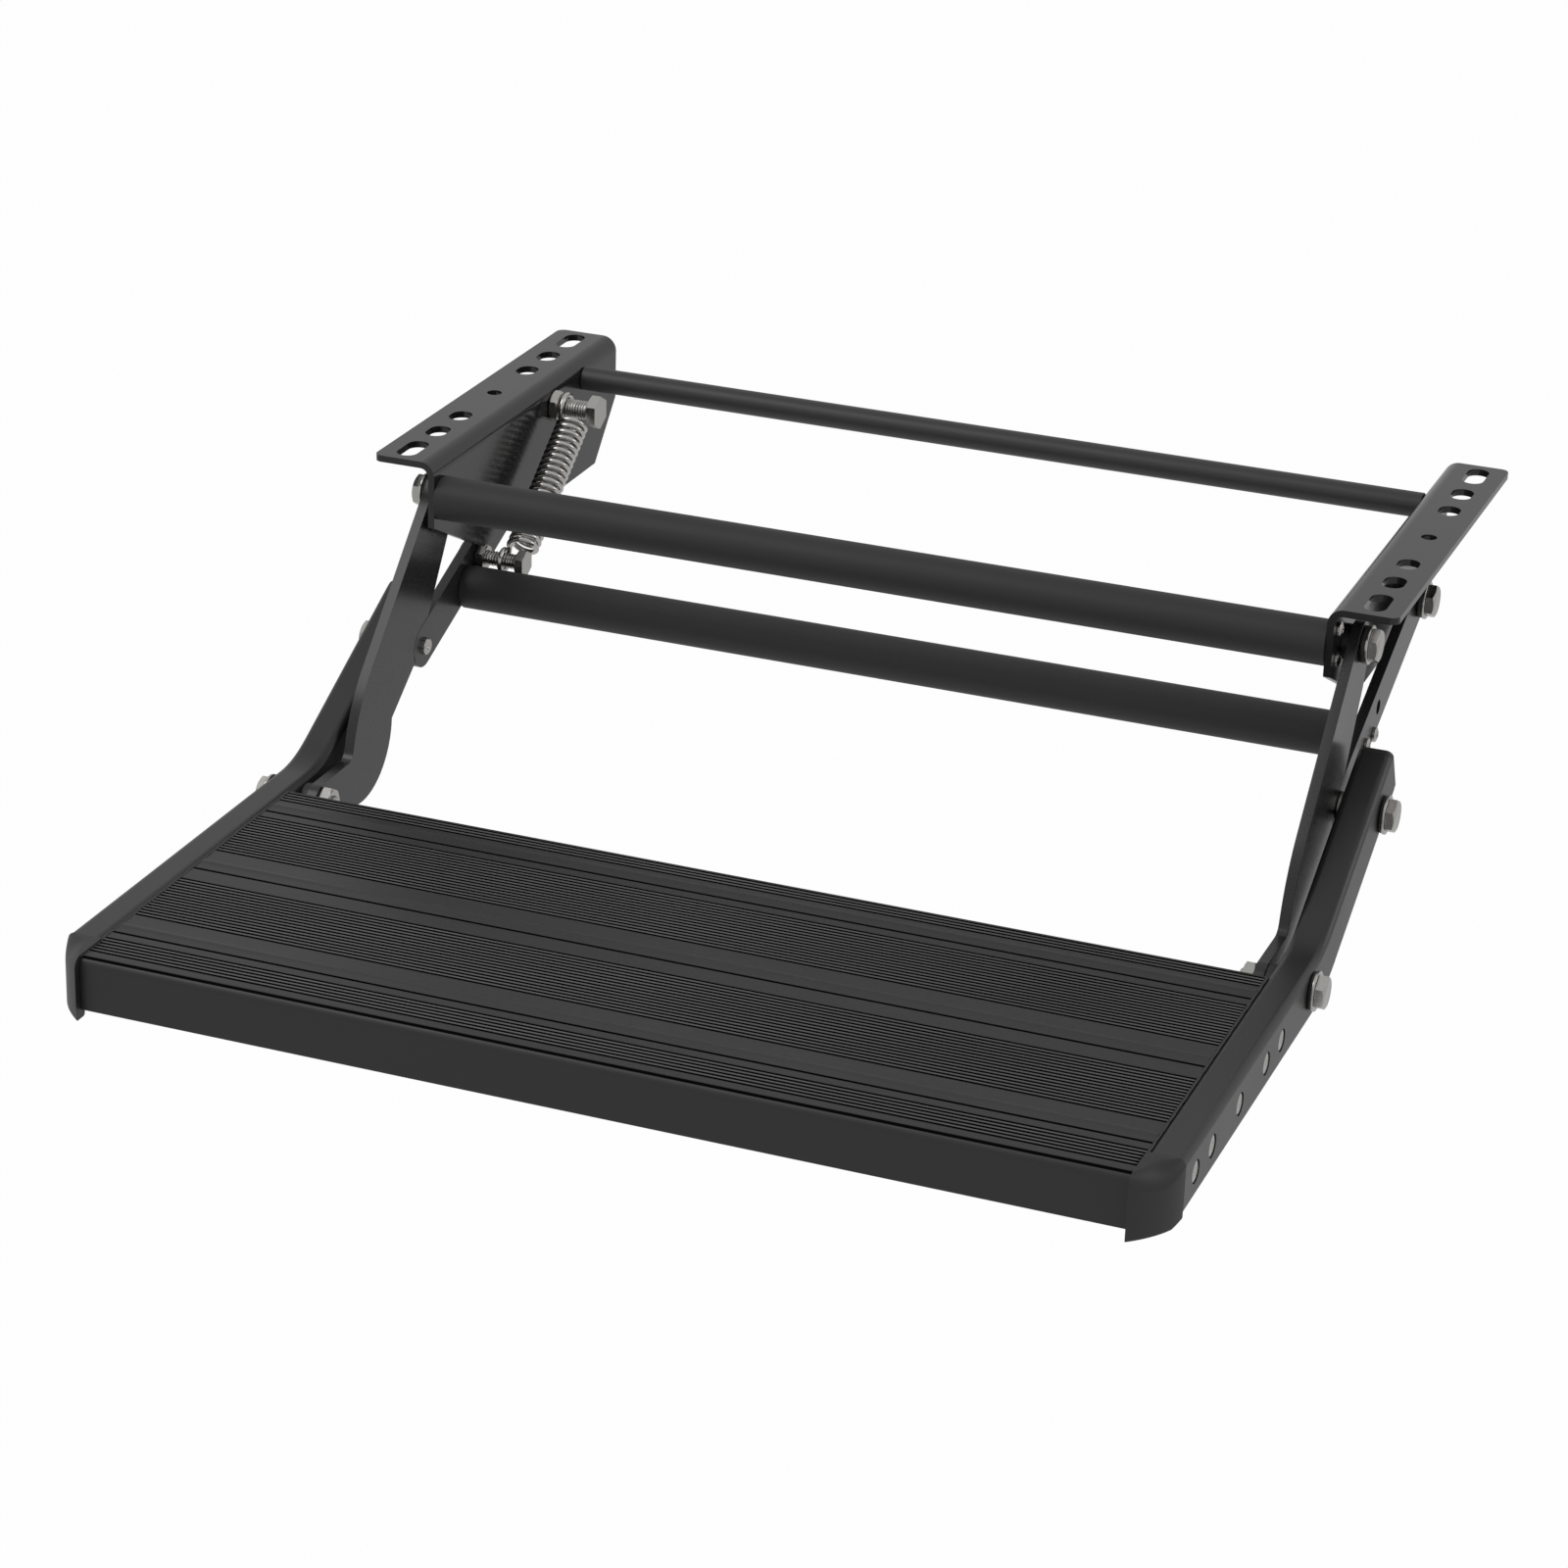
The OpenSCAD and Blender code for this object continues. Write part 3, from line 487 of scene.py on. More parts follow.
def hexagon(across: float, height: float, bore: float = 0.0, both_ends: bool = False,
            steps: int = 72) -> bmesh.types.BMesh:
    """A hexagon along +X with the round chamfer of a bolt head or nut.

    Args:
        across: Width across the flats.
        height: Height along X.
        bore: Diameter of the bore, or 0 for a solid head.
        both_ends: Whether the end at X 0 is chamfered too.
        steps: Segments round the axis.

    Returns:
        The closed solid as a bmesh.
    """
    work = bmesh.new()
    flat = across / 2
    top = flat * 0.95
    slope = math.tan(math.radians(30))

    def outer(angle: float) -> float:
        """Radius of the hexagon at an angle."""
        turned = (angle + math.pi / 6) % (math.pi / 3) - math.pi / 6
        return flat / math.cos(turned)

    rows: list[Callable[[float], tuple[float, float]]] = []
    inner = bore / 2
    if inner:
        rows.append(lambda a: (0.0, inner))
    if both_ends:
        rows.append(lambda a: (0.0, top))
        rows.append(lambda a: ((outer(a) - top) * slope, outer(a)))
    else:
        rows.append(lambda a: (0.0, outer(a)))
    rows.append(lambda a: (height - (outer(a) - top) * slope, outer(a)))
    rows.append(lambda a: (height, top))
    if inner:
        rows.append(lambda a: (height, inner))
    angles = [2 * math.pi * i / steps for i in range(steps)]
    rings = []
    for angle in angles:
        spots = [row(angle) for row in rows]
        rings.append([work.verts.new((x, r * math.cos(angle), r * math.sin(angle))) for x, r in spots])
    for i in range(steps):
        near, far = rings[i], rings[(i + 1) % steps]
        for k in range(len(rows) - 1):
            work.faces.new((near[k], near[k + 1], far[k + 1], far[k]))
        if inner:
            work.faces.new((near[-1], near[0], far[0], far[-1]))
    if not inner:
        work.faces.new([ring[0] for ring in rings])
        work.faces.new([ring[-1] for ring in rings])
    bmesh.ops.recalc_face_normals(work, faces=work.faces)
    return work


def shank(start: float, end: float, radius: float, chamfer: float = 0.6 * MM) -> bmesh.types.BMesh:
    """A plain round bar along X with a chamfer at its far end."""
    tip = min(start, end) + chamfer if end < start else end - chamfer
    return lathe([(start, 0.05 * MM), (start, radius), (tip, radius), (end, radius - chamfer), (end, 0.05 * MM)])


def crossed_head(radius: float, height: float, dome: float, recess: float, sunk: bool,
                 steps: int = 40) -> bmesh.types.BMesh:
    """A screw head along +X with a cross recess pressed into it.

    Args:
        radius: Radius of the head.
        height: Height of the head.
        dome: Height of its domed part.
        recess: Reach of the recess from the middle.
        sunk: Whether the head is the countersunk kind.
        steps: Segments round the axis.

    Returns:
        The closed head as a bmesh.
    """
    work = bmesh.new()
    shares = (1.0, 0.92, 0.75, 0.55, 0.45, 0.38, 0.32, 0.26, 0.2, 0.14, 0.07)
    deep = height * 0.55
    arm = recess * 0.3

    def surface(r: float, angle: float) -> float:
        """Height of the head above its seat, recess included."""
        top = height - dome * (r / radius) ** 2
        y, z = r * math.cos(angle), r * math.sin(angle)
        cut = max(min(arm - abs(y), recess - abs(z)), min(arm - abs(z), recess - abs(y)))
        return top - deep * min(max(cut / (arm * 0.6), 0.0), 1.0)

    angles = [2 * math.pi * i / steps for i in range(steps)]
    rings = []
    foot = 0.55 * radius if sunk else radius
    for angle in angles:
        spots = [(0.0, foot)] + [(surface(s * radius, angle), s * radius) for s in shares]
        rings.append([work.verts.new((x, r * math.cos(angle), r * math.sin(angle))) for x, r in spots])
    for i in range(steps):
        near, far = rings[i], rings[(i + 1) % steps]
        for k in range(len(shares)):
            work.faces.new((near[k], near[k + 1], far[k + 1], far[k]))
    work.faces.new([ring[0] for ring in rings])
    work.faces.new([ring[-1] for ring in rings])
    bmesh.ops.recalc_face_normals(work, faces=work.faces)
    return work


def joined(parts: Iterable[bmesh.types.BMesh], name: str, sharp: float = 35.0) -> bpy.types.Mesh:
    """Joins bmeshes into one smooth shaded mesh that keeps its sharp edges.

    Args:
        parts: The bmeshes; they are freed.
        name: The mesh's name.
        sharp: Angle in degrees above which an edge stays sharp.

    Returns:
        The mesh.
    """
    whole = bmesh.new()
    for part in parts:
        piece = bpy.data.meshes.new("piece")
        part.to_mesh(piece)
        part.free()
        whole.from_mesh(piece)
        bpy.data.meshes.remove(piece)
    for face in whole.faces:
        face.smooth = True
    for edge in whole.edges:
        if len(edge.link_faces) == 2 and edge.calc_face_angle(0.0) > math.radians(sharp):
            edge.smooth = False
    mesh = bpy.data.meshes.new(name)
    whole.to_mesh(mesh)
    whole.free()
    return mesh


def shifted(work: bmesh.types.BMesh, offset: float) -> bmesh.types.BMesh:
    """Moves a bmesh along X."""
    bmesh.ops.translate(work, verts=work.verts, vec=(offset, 0, 0))
    return work


class NodeTree:
    """A Geometry Nodes tree that is built in the script."""

    def __init__(self, name: str, sizes: dict[str, str]) -> None:
        """Makes the tree with its named inputs.

        Args:
            name: The tree's name.
            sizes: Socket types by input name.
        """
        self.group = bpy.data.node_groups.new(name, "GeometryNodeTree")
        face = self.group.interface
        face.new_socket("Geometry", in_out="INPUT", socket_type="NodeSocketGeometry")
        self.identifiers = {
            key: face.new_socket(key, in_out="INPUT", socket_type=kind).identifier for key, kind in sizes.items()}
        face.new_socket("Geometry", in_out="OUTPUT", socket_type="NodeSocketGeometry")
        self.entry = self.group.nodes.new("NodeGroupInput")

    def add(self, kind: str, settings: dict | None = None, inputs: dict | None = None) -> bpy.types.Node:
        """Adds a node.

        Args:
            kind: The node's full type name.
            settings: Properties of the node.
            inputs: Values, or output sockets to link, by name or index.

        Returns:
            The new node.
        """
        node = self.group.nodes.new(kind)
        for key, value in (settings or {}).items():
            setattr(node, key, value)
        for key, value in (inputs or {}).items():
            if isinstance(value, bpy.types.NodeSocket):
                self.group.links.new(value, node.inputs[key])
            else:
                node.inputs[key].default_value = value
        return node

    def close(self, geometry: bpy.types.NodeSocket) -> None:
        """Ends the tree in Realize Instances and Set Material.

        Args:
            geometry: What the tree made.
        """
        real = self.add("GeometryNodeRealizeInstances", inputs={"Geometry": geometry})
        finish = self.add("GeometryNodeSetMaterial", inputs={
            "Geometry": real.outputs[0], "Material": self.entry.outputs["Finish"]})
        end = self.group.nodes.new("NodeGroupOutput")
        self.group.links.new(finish.outputs[0], end.inputs[0])

    def run(self, shop: Workshop, mesh: bpy.types.Mesh, name: str, **values: object) -> bpy.types.Object:
        """Runs the tree on a mesh and returns the plain result.

        Args:
            shop: The workshop.
            mesh: The mesh that the tree starts from.
            name: The new piece's name.
            values: The tree's inputs by name.

        Returns:
            The new piece.
        """
        obj = shop.link(name + "_seed", mesh)
        modifier = obj.modifiers.new("build", "NODES")
        modifier.node_group = self.group
        for key, value in values.items():
            modifier[self.identifiers[key]] = value
        return shop.baked(obj, name)


def wire_tree() -> NodeTree:
    """Sweeps a round wire along the seed's line."""
    tree = NodeTree("swept_wire", {
        "Radius": "NodeSocketFloat", "Sides": "NodeSocketInt", "Finish": "NodeSocketMaterial"})
    line = tree.add("GeometryNodeMeshToCurve", inputs={"Mesh": tree.entry.outputs["Geometry"]})
    ring = tree.add("GeometryNodeCurvePrimitiveCircle", inputs={
        "Resolution": tree.entry.outputs["Sides"], "Radius": tree.entry.outputs["Radius"]})
    swept = tree.add("GeometryNodeCurveToMesh", inputs={
        "Curve": line.outputs[0], "Profile Curve": ring.outputs[0], "Fill Caps": True})
    smooth = tree.add("GeometryNodeSetShadeSmooth", inputs={"Geometry": swept.outputs[0], "Shade Smooth": True})
    tree.close(smooth.outputs[0])
    return tree


def thread_tree() -> NodeTree:
    """Winds a thread ridge round the X axis from X 0."""
    tree = NodeTree("bolt_thread", {
        "Radius": "NodeSocketFloat", "Length": "NodeSocketFloat", "Turns": "NodeSocketFloat",
        "Ridge": "NodeSocketFloat", "Finish": "NodeSocketMaterial"})
    helix = tree.add("GeometryNodeCurveSpiral", inputs={
        "Resolution": 36, "Rotations": tree.entry.outputs["Turns"], "Start Radius": tree.entry.outputs["Radius"],
        "End Radius": tree.entry.outputs["Radius"], "Height": tree.entry.outputs["Length"]})
    laid = tree.add("GeometryNodeTransform", inputs={
        "Geometry": helix.outputs[0], "Rotation": (0.0, math.pi / 2, 0.0)})
    ridge = tree.add("GeometryNodeCurvePrimitiveCircle", inputs={
        "Resolution": 4, "Radius": tree.entry.outputs["Ridge"]})
    swept = tree.add("GeometryNodeCurveToMesh", inputs={
        "Curve": laid.outputs[0], "Profile Curve": ridge.outputs[0], "Fill Caps": True})
    tree.close(swept.outputs[0])
    return tree


def copies_tree() -> NodeTree:
    """Sets a copy of one object on each point of the seed, turned round Z by the point's "turn"."""
    tree = NodeTree("placed_copies", {"Copy": "NodeSocketObject", "Finish": "NodeSocketMaterial"})
    info = tree.add("GeometryNodeObjectInfo", inputs={"Object": tree.entry.outputs["Copy"]})
    turn = tree.add("GeometryNodeInputNamedAttribute", {"data_type": "FLOAT_VECTOR"}, {"Name": "turn"})
    set_out = tree.add("GeometryNodeInstanceOnPoints", inputs={
        "Points": tree.entry.outputs["Geometry"], "Instance": info.outputs["Geometry"],
        "Rotation": turn.outputs[0]})
    tree.close(set_out.outputs[0])
    return tree


def crown_tree() -> NodeTree:
    """Lays a low crown along X at each point of the seed."""
    tree = NodeTree("ridge_crowns", {
        "Length": "NodeSocketFloat", "Radius": "NodeSocketFloat", "Sides": "NodeSocketInt",
        "Finish": "NodeSocketMaterial"})
    bead = tree.add("GeometryNodeMeshCylinder", inputs={
        "Vertices": tree.entry.outputs["Sides"], "Radius": tree.entry.outputs["Radius"],
        "Depth": tree.entry.outputs["Length"]})
    laid = tree.add("GeometryNodeTransform", inputs={
        "Geometry": bead.outputs[0], "Rotation": (0.0, math.pi / 2, 0.0), "Scale": (0.22, 1.0, 1.0)})
    smooth = tree.add("GeometryNodeSetShadeSmooth", inputs={"Geometry": laid.outputs[0], "Shade Smooth": True})
    set_out = tree.add("GeometryNodeInstanceOnPoints", inputs={
        "Points": tree.entry.outputs["Geometry"], "Instance": smooth.outputs[0]})
    tree.close(set_out.outputs[0])
    return tree


def line_mesh(points: Sequence[Vector], name: str) -> bpy.types.Mesh:
    """A mesh of one open line of edges."""
    mesh = bpy.data.meshes.new(name)
    mesh.from_pydata(points, [(i, i + 1) for i in range(len(points) - 1)], [])
    return mesh


def spot_mesh(spots: Sequence[tuple[Vector, Side]], name: str) -> bpy.types.Mesh:
    """A mesh of loose points with their turns.

    Args:
        spots: Each point with the side that its copy faces.
        name: The mesh's name.

    Returns:
        The mesh.
    """
    mesh = bpy.data.meshes.new(name)
    mesh.from_pydata([p for p, _ in spots], [], [])
    turn = mesh.attributes.new("turn", "FLOAT_VECTOR", "POINT")
    for item, (_, side) in zip(turn.data, spots):
        item.vector = (0.0, 0.0, 0.0 if side is Side.RIGHT else math.pi)
    return mesh


@dataclass
class Hardware:
    """Bolts, nuts, washers, bushes and screws, set from the boxes of their CAD nodes."""

    shop: Workshop
    head_across: float = 17 * MM
    small_across: float = 13 * MM
    thread_pitch: float = 1.75 * MM
    edge: float = 0.35 * MM
    copies: NodeTree = field(default_factory=copies_tree)
    threads: NodeTree = field(default_factory=thread_tree)

    def islands(self, node: str) -> list[tuple[Vector, Vector]]:
        """The box of each separate solid of a CAD node.

        Args:
            node: The CAD node.

        Returns:
            Lowest and highest corner of each solid, in order of X, Y and Z.
        """
        work = bmesh.new()
        work.from_mesh(self.shop.nodes[node].data)
        bmesh.ops.remove_doubles(work, verts=work.verts, dist=0.002 * MM)
        left = set(work.verts)
        boxes = []
        while left:
            stack = [left.pop()]
            group = []
            while stack:
                vert = stack.pop()
                group.append(vert.co.copy())
                for edge in vert.link_edges:
                    other = edge.other_vert(vert)
                    if other in left:
                        left.remove(other)
                        stack.append(other)
            low = Vector(min(p[i] for p in group) for i in range(3))
            high = Vector(max(p[i] for p in group) for i in range(3))
            boxes.append((low, high))
        work.free()
        return sorted(boxes, key=lambda b: tuple(round(c, 5) for c in b[0]))

    def set_out(self, node: str, body: Body, finish: Finish, make: Callable[[float], bpy.types.Mesh],
                name: str) -> bpy.types.Object:
        """Puts one detailed shape in place of every solid of a CAD node.

        Args:
            node: The CAD node.
            body: Its body.
            finish: Its finish.
            make: Makes the shape along +X from the node's solid length, with its inner end at X 0.
            name: The new piece's name.

        Returns:
            The new piece.
        """
        groups: dict[float, list[tuple[Vector, Side]]] = {}
        for low, high in self.islands(node):
            middle = (low + high) / 2
            side = Side.RIGHT if middle.x > 0 else Side.LEFT
            inner = low.x if side is Side.RIGHT else high.x
            spots = groups.setdefault(round(high.x - low.x, 5), [])
            spots.append((Vector((inner, middle.y, middle.z)), side))
        whole = bmesh.new()
        for length, spots in groups.items():
            shape = self.shop.link(name + "_shape", make(length))
            part = self.copies.run(self.shop, spot_mesh(spots, name), name + "_part", Copy=shape,
                                   Finish=self.shop.material(finish))
            whole.from_mesh(part.data)
            bpy.data.objects.remove(shape)
            bpy.data.objects.remove(part)
        mesh = bpy.data.meshes.new(name)
        whole.to_mesh(mesh)
        whole.free()
        mesh.materials.append(self.shop.material(finish))
        return self.shop.register(self.shop.link(name, mesh), body, finish, node)

    def pin(self, radius: float, collar: float, bar: float) -> Callable[[float], bpy.types.Mesh]:
        """A maker of centre drilled pins with a collar at the outer end.

        Args:
            radius: Radius of the pin.
            collar: Radius of the collar.
            bar: Length of the pin up to its collar.

        Returns:
            A function of the pin's whole length.
        """
        def make(length: float) -> bpy.types.Mesh:
            """The pin along +X."""
            e = self.edge
            profile = [(1.6 * MM, 0.05 * MM), (0.0, 1.9 * MM), (0.0, radius - 2 * e), (2 * e, radius), (bar, radius),
                       (bar, collar - e), (bar + e, collar), (length - e, collar), (length, collar - e),
                       (length, 0.05 * MM)]
            return joined([lathe(profile)], "pin", 28.0)
        return make

    def pivot_bolt(self, head: float, radius: float) -> Callable[[float], bpy.types.Mesh]:
        """A maker of pivot bolts with a head of one height at the outer end.

        Args:
            head: Height of the head.
            radius: Radius of the shank.

        Returns:
            A function of the bolt's whole length.
        """
        def make(length: float) -> bpy.types.Mesh:
            """The bolt along +X, shank end at X 0."""
            parts = [shank(length - head, 0.0, radius), shifted(hexagon(self.head_across, head), length - head)]
            return joined(parts, "pivot_bolt")
        return make

    def ring(self, inner: float, outer: float) -> Callable[[float], bpy.types.Mesh]:
        """A maker of rings with rounded edges."""
        def make(length: float) -> bpy.types.Mesh:
            """The ring along +X."""
            return joined([lathe(rounded_section(0.0, length, inner, outer, self.edge))], "ring", 60.0)
        return make

    def bush(self, flange: float, inner: float, sleeve: float, outer: float) -> Callable[[float], bpy.types.Mesh]:
        """A maker of flanged bushes, flange at the outer end."""
        def make(length: float) -> bpy.types.Mesh:
            """The bush along +X."""
            e = self.edge
            profile = [(0.0, inner), (0.0, sleeve), (length - flange, sleeve), (length - flange, outer - e),
                       (length - flange + e, outer), (length - e, outer), (length, outer - e), (length, inner)]
            return joined([lathe(profile)], "bush", 50.0)
        return make

    def nut(self, across: float, bore: float) -> Callable[[float], bpy.types.Mesh]:
        """A maker of nuts with both ends chamfered."""
        def make(length: float) -> bpy.types.Mesh:
            """The nut along +X."""
            return joined([hexagon(across, length, bore, both_ends=True)], "nut", 25.0)
        return make

    def screw(self, head_r: float, head_h: float, shank_r: float, sunk: bool) -> Callable[[float], bpy.types.Mesh]:
        """A maker of cross recessed screws with the head at the outer end."""
        def make(length: float) -> bpy.types.Mesh:
            """The screw along +X."""
            head = crossed_head(head_r, head_h, 0.0 if sunk else head_h * 0.5, head_r * 0.55, sunk)
            return joined([shank(length - head_h, 0.0, shank_r), shifted(head, length - head_h)], "screw", 30.0)
        return make

    def spring_bolt(self, node: str, body: Body, bolt: "SpringBolt") -> None:
        """A bolt with a cut thread that carries one end of the spring, head inboard.

        Args:
            node: The CAD node.
            body: Its body.
            bolt: Sizes of the bolt.
        """
        low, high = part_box(node)
        middle = (low + high) / 2
        ridge = self.thread_pitch * 0.5
        core = bolt.radius - ridge
        run = bolt.head_out - bolt.head - bolt.thread_end
        parts = [shank(bolt.head, bolt.head + run, core), shifted(hexagon(bolt.across, bolt.head), 0.0),
                 shank(bolt.head + run - MM, bolt.head_out - low.x, min(core, 4 * MM))]
        whole = joined(parts, "bolt", 25.0)
        whole.transform(Matrix.Diagonal((-1, 1, 1, 1)))
        whole.flip_normals()
        seed = line_mesh([Vector(), Vector((MM, 0, 0))], "seed")
        wound = self.threads.run(self.shop, seed, node + "_thread", Radius=core, Length=run,
                                 Turns=run / self.thread_pitch, Ridge=ridge,
                                 Finish=self.shop.material(BRIGHT_ZINC))
        wound.data.transform(Matrix.Translation((-(bolt.head + run), 0, 0)))
        both = bmesh.new()
        both.from_mesh(whole)
        both.from_mesh(wound.data)
        bpy.data.objects.remove(wound)
        both.to_mesh(whole)
        both.free()
        whole.materials.append(self.shop.material(BRIGHT_ZINC))
        whole.transform(Matrix.Translation((bolt.head_out, middle.y, middle.z)))
        self.shop.register(self.shop.link(node + "_threaded", whole), body, BRIGHT_ZINC, node)


@dataclass(frozen=True)
class SpringBolt:
    """Sizes of a bolt that holds one end of the spring."""

    head_out: float
    head: float
    across: float
    radius: float
    thread_end: float


@dataclass
class BracketFrame:
    """The two brackets with what is fixed to them."""

    shop: Workshop
    hardware: Hardware
    sheet_edge: float = 0.5 * MM
    shank_r: float = 5 * MM
    upper_bolt: SpringBolt = SpringBolt(-235.8 * MM, 6.4 * MM, 18 * MM, 5.9 * MM, -266 * MM)

    def build(self) -> None:
        """Builds the brackets, rod, tube and upper hardware."""
        body = Body.FRAME
        for node in ("bracket_left", "bracket_right"):
            self.shop.softened(node, body, COATED_SHEET, self.sheet_edge)
        self.shop.softened("rear_cross_rod", body, BLACK_ROD, self.sheet_edge)
        self.shop.softened("front_cross_tube", body, BLACK_TUBE, 0.2 * MM)
        hw = self.hardware
        hw.set_out("front_tube_screws", body, BRIGHT_ZINC, hw.screw(4.3 * MM, 2.6 * MM, 2.0 * MM, False),
                   "front_tube_screws_set")
        hw.set_out("upper_pivot_bolts", body, BRIGHT_ZINC, hw.pivot_bolt(5 * MM, self.shank_r), "upper_bolt_set")
        hw.set_out("upper_pivot_washers", body, BRIGHT_ZINC, hw.ring(5.25 * MM, 11 * MM), "upper_washer_set")
        hw.set_out("upper_pivot_bushes", body, MOULDED_BUSH,
                   hw.bush(2.6 * MM, 5.25 * MM, 7 * MM, 10.5 * MM), "upper_bush_set")
        self.shop.dress_node("upper_pivot_spacers", MOULDED_BUSH)
        hw.spring_bolt("spring_upper_bolt", body, self.upper_bolt)
        hw.set_out("spring_upper_nut", body, BRIGHT_ZINC, hw.nut(17.5 * MM, 11 * MM), "spring_upper_nut_set")


@dataclass
class ReturnSpring:
    """The extension spring with side hooks, swept along its own middle line."""

    shop: Workshop
    wire: float = 3.3 * MM
    coil: float = 19.8 * MM
    turns: int = 21
    coil_len: float = 94 * MM
    upper_hook: float = 7.8 * MM
    lower_hook: float = 6.5 * MM
    plane: float = -250.3 * MM
    top: tuple[float, float] = (37 * MM, -16 * MM)
    arm_pivot: tuple[float, float] = (32 * MM, -50 * MM)
    link_pivot: tuple[float, float] = (-130 * MM, -116 * MM)
    hole_at: float = 92.9 * MM
    steps: int = 28

    def line(self) -> list[Vector]:
        """The middle line: lower hook, coil and upper hook.

        Returns:
            Its points.
        """
        radius = (self.coil - self.wire) / 2
        pivot = Vector((self.plane, *self.arm_pivot))
        link = Vector((self.plane, *self.link_pivot))
        low = pivot + (link - pivot).normalized() * self.hole_at
        high = Vector((self.plane, *self.top))
        axis = (high - low).normalized()
        across = Vector((1, 0, 0)).cross(axis)
        outboard = Vector((-radius, 0, 0))
        start = ((high - low).length - self.coil_len) / 2

        def bend(centre: Vector, hook: float, first: float, share: float) -> Vector:
            """A point of a hook."""
            angle = math.radians(first + 290 * share)
            return centre + outboard + hook * (math.cos(angle) * across + math.sin(angle) * axis)

        count = self.turns * self.steps
        wound = []
        for i in range(count + 1):
            angle = 2 * math.pi * i / self.steps - math.pi / 2
            wound.append(low + axis * (start + self.coil_len * i / count)
                         + radius * (math.cos(angle) * across + math.sin(angle) * Vector((1, 0, 0))))
        shares = [i / self.steps for i in range(self.steps + 1)]
        below = [bend(low, self.lower_hook, 120, share) for share in reversed(shares)]
        above = [bend(high, self.upper_hook, -60, share) for share in shares]
        return below + wound + above

    def build(self) -> None:
        """Sweeps the wire and puts it in place of the CAD spring."""
        tree = wire_tree()
        piece = tree.run(self.shop, line_mesh(self.line(), "spring_line"), "spring_coil", Radius=self.wire / 2,
                         Sides=16, Finish=self.shop.material(DRAWN_WIRE))
        self.shop.register(piece, Body.FRAME, DRAWN_WIRE, "extension_spring")


@dataclass
class SwingArms:
    """The four swing arms with the lower tube and its hardware."""

    shop: Workshop
    hardware: Hardware
    edge: float = 0.5 * MM
    lower_bolt: SpringBolt = SpringBolt(-243.5 * MM, 5.6 * MM, 14.2 * MM, 4.7 * MM, -270 * MM)

    def build(self) -> None:
        """Builds both pairs of arms."""
        for node in ("front_arm_left", "front_arm_right"):
            self.shop.softened(node, Body.FRONT_ARMS, COATED_ARM, self.edge)
        body = Body.REAR_ARMS
        for node in ("rear_arm_left", "rear_arm_right"):
            self.shop.softened(node, body, COATED_ARM, self.edge)
        self.shop.softened("lower_cross_tube", body, BLACK_TUBE, 0.2 * MM)
        hw = self.hardware
        hw.set_out("rear_arm_pins", body, BRIGHT_ZINC, hw.pin(5 * MM, 9 * MM, 9.2 * MM), "rear_arm_pin_set")
        hw.set_out("lower_tube_screws", body, BRIGHT_ZINC, hw.screw(4.3 * MM, 2.6 * MM, 2.0 * MM, False),
                   "lower_tube_screws_set")
        hw.spring_bolt("spring_lower_bolt", body, self.lower_bolt)
        hw.set_out("spring_lower_nuts", body, BRIGHT_ZINC, hw.nut(14 * MM, 8.5 * MM), "spring_lower_nut_set")


